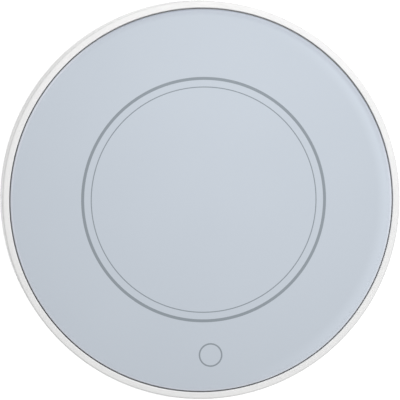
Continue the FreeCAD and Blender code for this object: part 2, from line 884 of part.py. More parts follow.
def make_sensor():
    bead = doc.addObject("Part::Cylinder", "bead")
    tie(bead, "Radius", "sensor_dia / 2")
    tie(bead, "Height", "sensor_length - sensor_dia / 2")
    nose = doc.addObject("Part::Sphere", "nose")
    tie(nose, "Radius", "sensor_dia / 2")
    bead.Placement = Placement(Vector(), Rotation(Vector(1, 0, 0), -90))
    for piece in (bead, nose):
        tie(piece, "Placement.Base.x", "sensor_x")
        tie(piece, "Placement.Base.y", "(sensor_dia - sensor_length) / 2")
        tie(piece, "Placement.Base.z", sensor_level)
    sensor = doc.addObject("Part::Fuse", "thermistor")
    sensor.Label = "thermistor"
    sensor.Base = bead
    sensor.Tool = nose
    doc.recompute()
    parts.append(sensor)

    cushion_height = f"{sensor_level} - sensor_dia / 2 - {pad_level}"
    slab("sensor_cushion", pad_level, cushion_height, "sensor_dia", "sensor_length", "sensor_x", "0")

    leads = []
    plug_level = f"{board_under} - sensor_plug_height / 2"
    for side in ("-", "+"):
        shift = f"{side} sensor_lead_pitch / 2"
        lead_x, plug_x = f"sensor_x {shift}", f"sensor_plug_x {shift}"
        points = [
            (lead_x, "sensor_length / 2", sensor_level),
            (lead_x, "sensor_turn_y", sensor_level),
            (lead_x, "sensor_turn_y", f"{bracket_level} - sensor_lead_drop"),
            (f"sensor_x / 2 {shift}", "lead_sweep_y", f"{plug_level} + sensor_lead_rise"),
            (plug_x, f"-{plug_face} + plug_approach", plug_level),
            (plug_x, f"-{plug_face}", plug_level),
        ]
        leads.append(tube("thermistor lead", points, "sensor_lead_dia"))
    parts.append(solid_feature("thermistor_leads", Part.makeCompound(leads)))


def make_thermal_fuse():
    along_y = Rotation(Vector(1, 0, 0), -90)
    can = doc.addObject("Part::Cylinder", "fuse_can")
    tie(can, "Radius", "fuse_dia / 2")
    tie(can, "Height", "fuse_length")
    rear_lead = doc.addObject("Part::Cylinder", "fuse_rear_lead")
    tie(rear_lead, "Radius", "fuse_lead_dia / 2")
    tie(rear_lead, "Height", "fuse_lead_length")
    for piece, start in ((can, "-fuse_length / 2"), (rear_lead, "fuse_length / 2")):
        piece.Placement = Placement(Vector(), along_y)
        tie(piece, "Placement.Base.x", "fuse_x")
        tie(piece, "Placement.Base.y", start)
        tie(piece, "Placement.Base.z", fuse_level)
    to_terminal = [
        ("fuse_x", "-fuse_length / 2", fuse_level),
        ("fuse_x", "-terminal_back", fuse_level),
        ("fuse_x", "-terminal_back", foil_level),
    ]
    front_lead = solid_feature("fuse_front_lead", tube("fuse lead", to_terminal, "fuse_lead_dia"))
    fuse = doc.addObject("Part::MultiFuse", "thermal_fuse")
    fuse.Label = "thermal_fuse"
    fuse.Shapes = [can, rear_lead, front_lead]
    doc.recompute()
    parts.append(fuse)

    sleeve = new_body("fuse_sleeve")
    sketch = sketch_on(sleeve, "XZ_Plane", "-sleeve_length / 2")
    circle(sketch, "sleeve_dia / 2", "fuse_x", fuse_level)
    circle(sketch, "sleeve_bore / 2", "fuse_x", fuse_level)
    pad(sleeve, sketch, "sleeve_length")


def make_heater_leads():
    fused_x = "heater_plug_x + plug_pitch / 2"
    fused = [
        ("fuse_x", "fuse_length / 2 + fuse_lead_length", fuse_level),
        ("fuse_x", "terminal_back", fuse_level),
        ("fuse_x", "terminal_back", f"{bracket_level} - fused_lead_drop"),
        ("fuse_x + fused_lead_shift", "lead_sweep_y", f"{plug_wire_level} - fused_lead_dip"),
        (fused_x, f"-{plug_face} + long_approach", plug_wire_level),
        (fused_x, f"-{plug_face}", plug_wire_level),
    ]
    parts.append(solid_feature("heater_lead_fused", tube("fused lead", fused, "wire_dia")))
    return_x = "heater_plug_x - plug_pitch / 2"
    returning = [
        ("0", "-terminal_back", foil_level),
        ("0", "-terminal_back", f"{bracket_level} - return_lead_drop"),
        ("heater_plug_x / 2", "-terminal_back - return_lead_step", plug_wire_level),
        (return_x, f"-{plug_face} + plug_approach", plug_wire_level),
        (return_x, f"-{plug_face}", plug_wire_level),
    ]
    parts.append(solid_feature("heater_lead_return", tube("return lead", returning, "wire_dia")))


def make_control_board():
    body = new_body("control_board")
    sketch = sketch_on(body, "XY_Plane", board_under)
    board_r = f"({inner_r} - board_edge_gap)"
    half = "board_width / 2"
    side_y = f"-sqrt({board_r}^2 - ({half})^2)"
    corners = [
        (half, "-board_rear"),
        (f"-{half}", "-board_rear"),
        (f"-{half}", side_y),
        (half, side_y),
    ]
    outline(sketch, corners, {2: ("0", "0")})
    pad(body, sketch, "board_thickness")
    holes(body, board_under, "small_screw_dia / 2 + screw_hole_play", board_spots, "board_thickness")


def make_chip(label, name):
    """A moulded chip on the board's underside, with a row of legs at its front and rear."""
    x, y = f"{name}_x", f"{name}_y"
    low = f"{board_under} - {name}_height"
    body = slab(label, low, f"{name}_height - chip_lift", f"{name}_width", f"{name}_depth", x, y)
    legs = sketch_on(body, "XY_Plane", f"{board_under} - leg_height")
    for step in range(SIZES[f"{name}_legs"]):
        leg_x = f"{x} + {name}_leg_pitch * ({step} - ({name}_legs - 1) / 2)"
        centred_rectangle(legs, "leg_width", f"{name}_depth + 2 * leg_reach", leg_x, y)
    pad(body, legs, "leg_height")


def make_board_pieces():
    make_chip("controller_chip", "chip")
    make_chip("power_mosfet", "mosfet")

    capacitor = new_body("filter_capacitor")
    top = f"{board_under} - capacitor_height"
    discs(capacitor, top, "capacitor_dia / 2", [("capacitor_x", "capacitor_y")], "capacitor_height")
    round_edges(capacitor, "Fillet", "capacitor_dia / 12", [("capacitor_dia / 2", top)])

    resistors = new_body("board_resistors")
    sketch = sketch_on(resistors, "XY_Plane", f"{board_under} - resistor_height")
    for x, y in resistor_spots:
        centred_rectangle(sketch, "resistor_width", "resistor_depth", f"{x}", f"{y}")
    pad(resistors, sketch, "resistor_height")

    for label, x, width, height, pitch in (
        ("power_connector", "power_plug_x", "plug_width", "plug_height", "plug_pitch"),
        ("heater_connector", "heater_plug_x", "plug_width", "plug_height", "plug_pitch"),
        ("sensor_connector", "sensor_plug_x", "sensor_plug_width", "sensor_plug_height", "sensor_lead_pitch"),
    ):
        body = new_body(label)
        low, middle = f"{board_under} - {height}", f"-{plug_face} - plug_depth / 2"
        sketch = sketch_on(body, "XY_Plane", low)
        centred_rectangle(sketch, width, "plug_depth", x, middle)
        pad(body, sketch, height)
        latch = sketch_on(body, "XY_Plane", low)
        centred_rectangle(latch, pitch, "latch_width", x, f"{middle} - latch_width")
        pocket(body, latch, "latch_depth", along_normal=True)


def make_key_pieces():
    lamp = slab("key_lamp", board_level, "lamp_base", "lamp_width", "lamp_depth", "0", "-key_reach")
    discs(lamp, f"{board_level} + lamp_base", "lamp_dome_dia / 2", key_spot, "lamp_dome")
    dome_rim = ("lamp_dome_dia / 2", f"{board_level} + lamp_base + lamp_dome")
    round_edges(lamp, "Fillet", "lamp_dome / 2", [dome_rim])

    shroud = new_body("key_shroud")
    sketch = sketch_on(shroud, "XY_Plane", board_level)
    circle(sketch, "shroud_dia / 2", *key_spot[0])
    circle(sketch, "shroud_dia / 2 - shroud_wall", *key_spot[0])
    pad(shroud, sketch, f"{glass_level} - {board_level} - shroud_top_gap")

    parts.append(solid_feature("touch_spring", spring_solid()))


def spring_solid():
    """A steady coil from the board to the glass, swept along arcs of a quarter turn."""
    wire_r = value("spring_wire / 2")
    coil_r = value("spring_dia / 2") - wire_r
    low, high = value(board_level) + wire_r, value(glass_level) - wire_r
    turns = value("spring_turns")
    centre_y = -value("key_reach")

    def at(turn):
        angle = 2 * math.pi * turn
        height = low + (high - low) * turn / turns
        return Vector(coil_r * math.cos(angle), centre_y + coil_r * math.sin(angle), height)

    quarters = int(turns * 4)
    edges = [
        Part.Arc(at(step / 4), at((step + 0.5) / 4), at((step + 1) / 4)).toShape() for step in range(quarters)
    ]
    path = Part.Wire(edges)
    heading = edges[0].tangentAt(edges[0].FirstParameter)
    section = Part.Wire(Part.Circle(at(0), heading, wire_r).toShape())
    solid = path.makePipeShell([section], True, False)
    rise = (high - low) / turns
    share = solid.Volume / (math.pi * wire_r**2 * path.Length)
    print(f"touch spring: gap between turns {rise - 2 * wire_r:.2f}, volume share {share:.4f}")
    return solid


def make_inlet():
    board = new_body("inlet_board")
    sketch = sketch_on(board, "XY_Plane", inlet_board_under)
    half = "inlet_board_width / 2"
    rectangle(sketch, f"-{half}", half, inlet_board_rear, inlet_board_front)
    pad(board, sketch, "inlet_board_thickness")
    hole_r = "small_screw_dia / 2 + screw_hole_play"
    holes(board, inlet_board_under, hole_r, inlet_spots, "inlet_board_thickness")

    shell = new_body("inlet_shell")
    outside = sketch_on(shell, "XZ_Plane", f"-{inlet_front}")
    half_height = "inlet_height / 2"
    slot(
        outside,
        "-inlet_width / 2",
        "inlet_width / 2",
        f"{inlet_level} - {half_height}",
        f"{inlet_level} + {half_height}",
    )
    pad(shell, outside, "inlet_length")
    inside = sketch_on(shell, "XZ_Plane", f"-{inlet_front}")
    half_bore = "(inlet_height / 2 - inlet_sheet)"
    slot(
        inside,
        "-inlet_width / 2 + inlet_sheet",
        "inlet_width / 2 - inlet_sheet",
        f"{inlet_level} - {half_bore}",
        f"{inlet_level} + {half_bore}",
    )
    pocket(shell, inside, "inlet_length - inlet_sheet", along_normal=True)

    tongue = new_body("inlet_tongue")
    block_back = f"{inlet_back} + inlet_sheet"
    block = sketch_on(tongue, "XZ_Plane", f"-({block_back} + tongue_block)")
    slot(
        block,
        "-inlet_width / 2 + inlet_sheet + tongue_play",
        "inlet_width / 2 - inlet_sheet - tongue_play",
        f"{inlet_level} - {half_bore} + tongue_play",
        f"{inlet_level} + {half_bore} - tongue_play",
    )
    pad(tongue, block, "tongue_block")
    plate = sketch_on(tongue, "XZ_Plane", f"-({block_back} + tongue_block + tongue_plate_length)")
    half_plate = "tongue_plate_height / 2"
    rectangle(
        plate,
        "-tongue_plate_width / 2",
        "tongue_plate_width / 2",
        f"{inlet_level} - {half_plate}",
        f"{inlet_level} + {half_plate}",
    )
    pad(tongue, plate, "tongue_plate_length")

    contacts = new_body("inlet_contacts")
    for level in (f"{inlet_level} + {half_plate}", f"{inlet_level} - {half_plate} - contact_height"):
        strips = sketch_on(contacts, "XY_Plane", level)
        for step in (-1.5, -0.5, 0.5, 1.5):
            rectangle(
                strips,
                f"contact_pitch * {step} - contact_width / 2",
                f"contact_pitch * {step} + contact_width / 2",
                f"{block_back} + tongue_block",
                f"{block_back} + tongue_block + contact_length",
            )
        pad(contacts, strips, "contact_height")


def make_power_wires():
    start_y = f"{inlet_board_rear} + inlet_wire_setback"
    entry_y = "guide_rear_y + guide_length / 2 + guide_run_in"
    for label, side in (("power_wire_negative", "-"), ("power_wire_positive", "+")):
        shift = f"{side} plug_pitch / 2"
        start_x, run_x = f"inlet_wire_x {shift}", f"power_plug_x {shift}"
        points = [
            (start_x, start_y, inlet_board_under),
            (start_x, start_y, wire_level),
            (f"inlet_wire_bend_x {shift}", f"{entry_y} + inlet_wire_bend", wire_level),
            (run_x, entry_y, wire_level),
            (run_x, "guide_front_y - guide_length / 2 - guide_run_out", wire_level),
            (run_x, f"-{plug_face} + plug_approach", plug_wire_level),
            (run_x, f"-{plug_face}", plug_wire_level),
        ]
        parts.append(solid_feature(label, tube(label, points, "wire_dia")))


make_upper_housing()
make_lower_housing()
make_feet()
make_glass_plate()
adhesive_r = f"({glass_r} - adhesive_inset)"
adhesive_bore = f"{adhesive_r} - adhesive_width"
make_flat_ring("adhesive_ring", deck_level, "adhesive_thickness", adhesive_r, adhesive_bore)
make_heater_seal()
film = new_body("thermal_film")
discs(film, f"{glass_level} - film_thickness", f"{spreader_r} - film_margin", [("0", "0")], "film_thickness")
make_heat_spreader()
make_mica_sheets()
make_heating_foil()
make_insulation_pad()
make_heater_bracket()
make_sensor()
make_thermal_fuse()
make_heater_leads()
make_control_board()
make_board_pieces()
make_key_pieces()
make_inlet()
make_power_wires()
screws("base_screws", tower_spots, "stand_height + counterbore_depth", "case_screw", "case_screw_length")
screws("bracket_screws", arm_spots, bracket_level, "small_screw", "small_screw_length")
screws("board_screws", board_spots, board_under, "small_screw", "small_screw_length")
screws("inlet_screws", inlet_spots, inlet_board_under, "small_screw", "small_screw_length")

doc.recompute()
for item in doc.Objects:
    if {"Invalid", "Error"} & set(item.State):
        raise RuntimeError(f"{item.Label} failed: {item.State}")
os.makedirs("parts", exist_ok=True)
for part in parts:
    if part.Shape.isNull() or not part.Shape.isValid():
        raise RuntimeError(f"{part.Label} has no valid shape")
for part in parts:
    part.Shape.exportStep(f"parts/{part.Label}.step")
print(f"{len(parts)} sub-parts, {sum(len(part.Shape.Solids) for part in parts)} solids")
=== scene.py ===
import json
import math

import bmesh
import bpy
from bpy.props import FloatProperty, FloatVectorProperty, IntProperty, PointerProperty
from mathutils import Matrix, Vector


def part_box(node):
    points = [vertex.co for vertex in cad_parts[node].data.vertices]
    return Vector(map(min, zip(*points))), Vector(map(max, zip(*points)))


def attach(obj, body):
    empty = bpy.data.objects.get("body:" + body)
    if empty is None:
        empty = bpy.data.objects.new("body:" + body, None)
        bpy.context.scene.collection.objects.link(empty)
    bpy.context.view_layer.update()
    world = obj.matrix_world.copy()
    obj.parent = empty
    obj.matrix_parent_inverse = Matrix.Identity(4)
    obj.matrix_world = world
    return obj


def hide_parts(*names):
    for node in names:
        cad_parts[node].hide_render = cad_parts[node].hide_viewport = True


# Electric mug warmer: looks for the packed CAD frame. Metres. +Z is up, the touch key is at the front (-Y)
# and the power inlet is at the back (+Y).

bl_info = {
    "name": "Mug warmer",
    "version": (1, 0, 0),
    "blender": (4, 5, 0),
    "location": "3D View > Sidebar > Mug warmer",
    "description": "Builds the visible pieces, finishes and stage of a mug warmer round its CAD frame",
    "category": "Object",
}

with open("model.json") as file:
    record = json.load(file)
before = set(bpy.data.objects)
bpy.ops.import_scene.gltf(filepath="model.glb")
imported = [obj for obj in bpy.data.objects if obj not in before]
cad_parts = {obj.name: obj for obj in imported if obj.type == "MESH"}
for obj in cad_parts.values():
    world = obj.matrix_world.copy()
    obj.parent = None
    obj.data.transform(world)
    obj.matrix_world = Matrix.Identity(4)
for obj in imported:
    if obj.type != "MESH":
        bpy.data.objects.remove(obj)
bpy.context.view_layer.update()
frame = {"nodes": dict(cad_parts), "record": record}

MM = 0.001
# Points nearer than this are one point.
NEAR = 1e-6
# Faces round the body, a hole, a screw or the inlet, a slot, a boss, and a small block.
BODY_STEPS, HOLE_STEPS, ROUND_STEPS, LOOP_STEPS, BOSS_STEPS, BLOCK_STEPS = 320, 64, 48, 40, 32, 16
SMOOTH_ANGLE = math.radians(27)
TURN = 2 * math.pi

glass_low, glass_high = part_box("glass_plate")
upper_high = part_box("upper_housing")[1]
lower_low, lower_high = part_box("lower_housing")
feet_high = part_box("feet")[1]
screws_low, screws_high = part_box("base_screws")
shell_low, shell_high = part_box("inlet_shell")
tongue_low, tongue_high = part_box("inlet_tongue")
contacts_low, contacts_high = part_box("inlet_contacts")

OUTER_R = upper_high.x
RIM_LEVEL = upper_high.z
UNDERSIDE = lower_low.z
DECK_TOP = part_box("adhesive_ring")[0].z
DECK_THICKNESS = 2 * MM
DECK_UNDER = DECK_TOP - DECK_THICKNESS
INLET_LEVEL = (shell_low.z + shell_high.z) / 2
# Stands a loop up at the inlet's level, so that its own level becomes its place from front to back.
UPRIGHT = Matrix(((1, 0, 0, 0), (0, 0, 1, 0), (0, 1, 0, INLET_LEVEL), (0, 0, 0, 1)))


def length(name, description, millimetres):
    """A size that a user can change, given in millimetres."""
    return FloatProperty(
        name=name, description=description, default=millimetres * MM, unit="LENGTH", precision=5
    )


def angle(name, description, degrees):
    """An angle, given in degrees."""
    return FloatProperty(
        name=name, description=description, default=math.radians(degrees), subtype="ANGLE", unit="ROTATION"
    )


def colour(name, description, *amounts):
    """A colour, given as red, green and blue."""
    return FloatVectorProperty(
        name=name, description=description, default=amounts, subtype="COLOR", min=0, max=1
    )


def position(name, description, *millimetres):
    """A place, given in millimetres."""
    return FloatVectorProperty(
        name=name, description=description, default=[part * MM for part in millimetres],
        subtype="TRANSLATION", unit="LENGTH", precision=5,
    )


def plain(name, description, amount):
    """A number with no unit."""
    return FloatProperty(name=name, description=description, default=amount, subtype="NONE", precision=4)


class GlassSettings(bpy.types.PropertyGroup):
    """Sizes and colours of the glass top and its print."""

    edge_round: length("Edge round", "Round along the top edge of the glass", 0.8)
    under_chamfer: length("Under chamfer", "Chamfer along the lower edge of the glass", 0.3)
    print_shift_x: length("Print shift X", "How far the print sits right of the glass's middle", 0.63)
    print_shift_y: length("Print shift Y", "How far the print sits behind the glass's middle", 0.2)
    thin_ring: length("Thin ring", "Radius of the thin ring's middle line", 36.75)
    thin_line: length("Thin line", "Width of the thin ring's line", 0.34)
    thick_ring: length("Thick ring", "Radius of the thick ring's middle line", 39.55)
    thick_line: length("Thick line", "Width of the thick ring's line", 0.97)
    key_ring: length("Key ring", "Radius of the touch key's ring", 3.64)
    key_line: length("Key line", "Width of the touch key's line", 0.5)
    key_reach: length("Key reach", "How far the touch key is from the middle", 50.8)
    paint: colour("Back paint", "Colour behind the glass", 0.535, 0.588, 0.655)
    paint_shade: colour("Back paint shade", "Colour where the back paint is a little thinner", 0.524, 0.577, 0.644)
    ink: colour("Ring ink", "Colour of the printed rings", 0.25, 0.288, 0.324)
    # Painted light and painted shade for the glass's round edge, and painted light for its upright side.
    painted_edge_light: colour("Edge light", "Round edge where it passes light on", 0.78, 0.82, 0.9)
    painted_edge_shade: colour("Edge deep", "Round edge where it holds light back", 0.46, 0.5, 0.57)
    painted_side_light: colour("Edge side", "Upright side of the glass", 0.84, 0.86, 0.88)


class HousingSettings(bpy.types.PropertyGroup):
    """Sizes and colours of the two shells."""

    wall: length("Wall", "Thickness of both shells", 2.2)
    rim_width: length("Rim width", "Width of the rim round the glass", 2.25)
    rim_round: length("Rim round", "Round along the rim's outer edge", 0.6)
    lip_round: length("Lip round", "Round along the rim's inner edge", 0.4)
    opening: length("Heater opening", "Radius of the opening in the deck", 42)
    seam: length("Seam level", "Level of the seam between the shells", 9)
    reveal: length("Seam reveal", "Height of the fine groove along the seam", 0.3)
    reveal_depth: length("Reveal depth", "Depth of the fine groove along the seam", 0.6)
    tongue: length("Seam tongue", "Width of the tongue inside the seam", 0.95)
    play: length("Seam play", "Room between tongue and rebate", 0.1)
    bottom_round: length("Bottom round", "Round between the side and the underside", 7)
    edge_break: length("Edge break", "Small round along moulded edges", 0.2)
    shell: colour("Shell colour", "Colour of the moulded shells", 0.86, 0.86, 0.855)
    shell_shade: colour("Shell shade", "Slightly deeper tone of the moulded shells", 0.83, 0.83, 0.828)


class UndersideSettings(bpy.types.PropertyGroup):
    """Sizes of what is moulded into the underside."""

    vent_count: IntProperty(name="Vents", description="How many vent slots", default=7, min=1, max=12)
    vent_pitch: length("Vent pitch", "Distance between vent slots", 3.4)
    vent_length: length("Vent length", "Length of a vent slot", 22)
    vent_width: length("Vent width", "Width of a vent slot", 1.6)
    vent_first: length("First vent", "How far in front of the middle the first slot is", 10)
    label_width: length("Label recess width", "Width of the blank recess", 44)
    label_depth: length("Label recess depth", "Size of the blank recess from front to back", 26)
    label_y: length("Label recess place", "How far behind the middle the blank recess is", 14)
    label_sink: length("Label recess sink", "How deep the blank recess is", 0.3)
    label_round: length("Label recess round", "Corner radius of the blank recess", 2)
    foot_reach: length("Foot reach", "How far each foot is from the middle", 48)
    foot_groove: length("Foot groove", "Depth of the ring groove in each sole", 0.35)
    screw_reach: length("Screw reach", "How far each case screw is from the middle", 50)


class InletSettings(bpy.types.PropertyGroup):
    """Sizes of the power inlet and its pocket."""

    pocket_width: length("Pocket width", "Width of the pocket in the side", 14)
    pocket_height: length("Pocket height", "Height of the pocket in the side", 7.2)
    pocket_depth: length("Pocket depth", "Depth of the pocket in the side", 1)
    pocket_round: length("Pocket round", "Corner radius of the pocket", 2.4)
    play: length("Inlet play", "Room round the inlet's shell", 0.18)
    sheet: length("Sheet", "Thickness of the inlet's steel shell", 0.3)


class StageSettings(bpy.types.PropertyGroup):
    """Camera, lamps and backdrop."""

    distance: length("Camera distance", "From the middle of the glass to the camera", 1500)
    lean_x: angle("Camera lean X", "How far the camera leans to the right of straight above", -4.88)
    lean_y: angle("Camera lean Y", "How far the camera leans to the back of straight above", 3.45)
    roll: angle("Camera roll", "How far the camera is turned about its own line of sight", -2.48)
    lens: plain("Lens", "Focal length in millimetres on a 36 mm sensor", 414.45)
    shift_x: plain("Shift X", "Sideways shift of the picture, as a share of its width", -0.0049)
    shift_y: plain("Shift Y", "Upward shift of the picture, as a share of its width", 0.00125)
    sky: plain("Sky strength", "Even light from all round", 0.49)
    lamp_power: plain("Lamp power", "Power of the large soft lamp in watts", 0.66)
    lamp_size: length("Lamp size", "Side of the large soft lamp", 420)
    lamp_place: position("Lamp place", "Place of the large soft lamp", 205, 215, 390)
    top_power: plain("Top lamp power", "Power of the small lamp above in watts", 0.165)
    top_place: position("Top lamp place", "Place of the small lamp above", 20, 48, 224)
    floor_white: plain("Floor white", "White that the floor adds for the camera", 0.7)


SETTINGS = {
    "warmer_glass": GlassSettings,
    "warmer_housing": HousingSettings,
    "warmer_underside": UndersideSettings,
    "warmer_inlet": InletSettings,
    "warmer_stage": StageSettings,
}


# Mesh tools. Each one adds to a bmesh.


def turned(bm, points, centre=(0, 0), steps=HOLE_STEPS):
    """A chain of (radius, level) points, turned a full turn about the upright line at centre.
    A point's third number rounds the corner there, and its fourth is the round's number of steps."""
    verts = [bm.verts.new((centre[0] + point[0], centre[1], point[1])) for point in points]
    for pair in zip(verts, verts[1:]):
        bm.edges.new(pair)
    for vert, point in zip(verts, points):
        if len(point) > 2:
            segments = point[3] if len(point) > 3 else 3
            bmesh.ops.bevel(
                bm, geom=[vert], offset=point[2], offset_type="OFFSET", segments=segments,
                profile=0.5, affect="VERTICES", material=-1,
            )
    edges = [edge for edge in bm.edges if edge.is_wire]
    verts = list(dict.fromkeys(vert for edge in edges for vert in edge.verts))
    bmesh.ops.spin(
        bm, geom=verts + edges, cent=(*centre, 0), axis=(0, 0, 1), angle=TURN, steps=steps,
        use_merge=True, use_duplicate=False,
    )


def loop(bm, steps, radius, across=0, along=0):
    """One closed loop at level 0: a circle whose quarters are moved apart, for slots and round-cornered
    rectangles. Returns its vertices and edges."""
    spot = Matrix.Rotation(math.pi / steps, 4, "Z")
    verts = bmesh.ops.create_circle(bm, cap_ends=False, segments=steps, radius=radius, matrix=spot)["verts"]
    for side in (-1, 1):
        for end in (-1, 1):
            quarter = [vert for vert in verts if vert.co.x * side > 0 and vert.co.y * end > 0]
            bmesh.ops.translate(bm, vec=(side * across, end * along, 0), verts=quarter)
    return verts, list(dict.fromkeys(edge for vert in verts for edge in vert.link_edges))


def tiers(bm, rows, place=Matrix(), steps=LOOP_STEPS, caps=()):
    """Loops one after another, joined by faces, and closed at the rows named in caps. Each row is a loop's
    radius, across, along and level. A fifth number is the radius of an upright cylinder that the loop
    follows: level counts inwards from it."""
    loops = [loop(bm, steps, *row[:3]) for row in rows]
    for number, (verts, _) in enumerate(loops):
        bmesh.ops.translate(bm, vec=(0, 0, number * MM), verts=verts)
    for nearer, further in zip(loops, loops[1:]):
        bmesh.ops.bridge_loops(bm, edges=nearer[1] + further[1])
    for (verts, _), row in zip(loops, rows):
        for vert in verts:
            vert.co.z = row[3] if len(row) < 5 else math.sqrt(row[4] ** 2 - vert.co.x**2) - row[3]
        bmesh.ops.transform(bm, matrix=place, verts=verts)
    for number in caps:
        bmesh.ops.contextual_create(bm, geom=loops[number][1])


def fill_level(bm, level):
    """Flat faces between all open loops that lie at one level."""
    bmesh.ops.remove_doubles(bm, verts=bm.verts, dist=NEAR)
    edges = [
        edge for edge in bm.edges
        if len(edge.link_faces) < 2 and all(abs(vert.co.z - level) < NEAR for vert in edge.verts)
    ]
    bmesh.ops.triangle_fill(bm, use_beauty=True, use_dissolve=False, edges=edges)


def closed_mesh(bm, name):
    """The finished mesh, with its seams and poles closed and its faces pointing outwards."""
    bmesh.ops.remove_doubles(bm, verts=bm.verts, dist=NEAR)
    bmesh.ops.dissolve_degenerate(bm, dist=NEAR / 10, edges=bm.edges)
    open_edges = sum(len(edge.link_faces) != 2 for edge in bm.edges)
    if open_edges:
        raise RuntimeError(f"{name} has {open_edges} open edges")
    bmesh.ops.recalc_face_normals(bm, faces=bm.faces)
    mesh = bpy.data.meshes.new(name)
    bm.to_mesh(mesh)
    bm.free()
    return mesh


def new_piece(mesh, name, node, slot, *more):
    """Shows a mesh, in the finish of its slot and any more finishes, as a piece that stands for a node."""
    mesh.shade_smooth()
    mesh.set_sharp_from_angle(angle=SMOOTH_ANGLE)
    piece = bpy.data.objects.new(name, mesh)
    bpy.context.scene.collection.objects.link(piece)
    for finish in (slot, *more):
        mesh.materials.append(finish_named(finish))
    piece.modifiers.new("weighted_normals", "WEIGHTED_NORMAL").keep_sharp = True
    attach(piece, "root")
    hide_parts(node)


def ring_places(reach, count, first):
    """Places at even steps round the middle."""
    turns = [math.radians(first) + TURN * step / count for step in range(count)]
    return [(reach * math.cos(turn), reach * math.sin(turn)) for turn in turns]


# Node tools for materials


def feed(tree, inputs, feeds):
    """Sets each input to an amount, or joins a socket to it."""
    for key, amount in feeds.items():
        if isinstance(amount, bpy.types.NodeSocket):
            tree.links.new(amount, inputs[key])
        else:
            inputs[key].default_value = amount


def add(tree, kind, feeds=None, **settings):
    """A shader node with its settings, and its inputs set or fed."""
    node = tree.nodes.new("ShaderNode" + kind)
    for key, amount in settings.items():
        setattr(node, key, amount)
    feed(tree, node.inputs, feeds or {})
    return node


def maths(tree, operation, first, second=0.0, third=0.0, clamp=False):
    """One step of arithmetic."""
    feeds = {0: first, 1: second, 2: third}
    return add(tree, "Math", feeds, operation=operation, use_clamp=clamp).outputs[0]


def product(tree, first, second):
    """Two amounts multiplied."""
    return maths(tree, "MULTIPLY", first, second)


def span(tree, amount, low, high, to_low=0.0, to_high=1.0):
    """Maps an amount from one span to another, smoothly at both ends."""
    feeds = {"Value": amount, "From Min": low, "From Max": high, "To Min": to_low, "To Max": to_high}
    return add(tree, "MapRange", feeds, interpolation_type="SMOOTHSTEP").outputs["Result"]


def blend(tree, share, first, second):
    """Two colours mixed. Each is a socket, or red, green and blue."""
    feeds = {0: share, 6: first, 7: second}
    for key in (6, 7):
        if not isinstance(feeds[key], bpy.types.NodeSocket):
            feeds[key] = (*feeds[key], 1)
    return add(tree, "Mix", feeds, data_type="RGBA").outputs[2]


def noise(tree, vector, scale, detail=2.0, rough=0.5):
    """Noise from 0 to 1, mostly near a half."""
    feeds = {"Vector": vector, "Scale": scale, "Detail": detail, "Roughness": rough}
    return add(tree, "TexNoise", feeds).outputs["Fac"]


def stretched(tree, vector, x, y, z):
    """The vector with each axis scaled by its own amount."""
    return add(tree, "VectorMath", {0: vector, 1: (x, y, z)}, operation="MULTIPLY").outputs[0]


def plan(tree, place):
    """A place's level, and its vector and distance from the middle line."""
    parts = add(tree, "SeparateXYZ", {0: place}).outputs
    flat = add(tree, "CombineXYZ", {"X": parts["X"], "Y": parts["Y"]}).outputs[0]
    return parts["Z"], flat, add(tree, "VectorMath", {0: flat}, operation="LENGTH").outputs["Value"]


# Shared effects. Each one fills a node group and gives the group's results.


def moulded_grain(tree, vector, scale):
    """Moulded plastic, rubber or resin: a fine eroded grain and a slow drift of tone."""
    fine = noise(tree, vector, scale, 3.0, 0.6)
    slow = noise(tree, vector, product(tree, scale, 0.018))
    drift = maths(tree, "MULTIPLY_ADD", slow, 0.8, product(tree, fine, 0.2))
    return fine, span(tree, drift, 0.3, 0.7)


def drawn_lines(tree, vector, scale):
    """Rolled or drawn metal: fine parallel lines along X with a few deeper ones."""
    along = stretched(tree, vector, 0.03, 1.0, 1.0)
    fine = noise(tree, along, scale, 4.0, 0.7)
    broad = noise(tree, along, product(tree, scale, 0.12))
    tone = maths(tree, "MULTIPLY_ADD", fine, 0.55, product(tree, broad, 0.45))
    return maths(tree, "ADD", fine, product(tree, broad, 0.5)), span(tree, tone, 0.32, 0.68)


def flat_flakes(tree, vector, scale):
    """Mica flakes, zinc spangle or cast crystals: flat cells of differing tone with fine borders."""
    bend = noise(tree, vector, product(tree, scale, 2.0))
    pushed = add(tree, "VectorMath", {0: vector, 1: bend}, operation="ADD").outputs[0]
    bent = add(tree, "Mix", {0: 0.0006, 4: vector, 5: pushed}, data_type="VECTOR").outputs[1]
    cells = add(tree, "TexVoronoi", {"Vector": bent, "Scale": scale}).outputs
    tone = add(tree, "SeparateColor", {"Color": cells["Color"]}).outputs[0]
    return maths(tree, "SUBTRACT", tone, cells["Distance"]), tone


def woven_threads(tree, vector, scale):
    """Woven or felted threads: two sets of rounded ribs that pass over and under."""
    wobble = noise(tree, vector, product(tree, scale, 0.3), 3.0)
    parts = add(tree, "SeparateXYZ", {0: vector}).outputs
    ribs = []
    for part, lag in ((maths(tree, "ADD", parts["X"], parts["Z"]), 0.0), (parts["Y"], math.pi / 2)):
        turns = maths(tree, "ADD", product(tree, part, scale), lag)
        phase = maths(tree, "MULTIPLY_ADD", wobble, 3.0, turns)
        ribs.append(maths(tree, "ABSOLUTE", maths(tree, "SINE", phase)))
    height = product(tree, *ribs)
    return height, maths(tree, "MULTIPLY_ADD", height, 0.6, product(tree, wobble, 0.4))


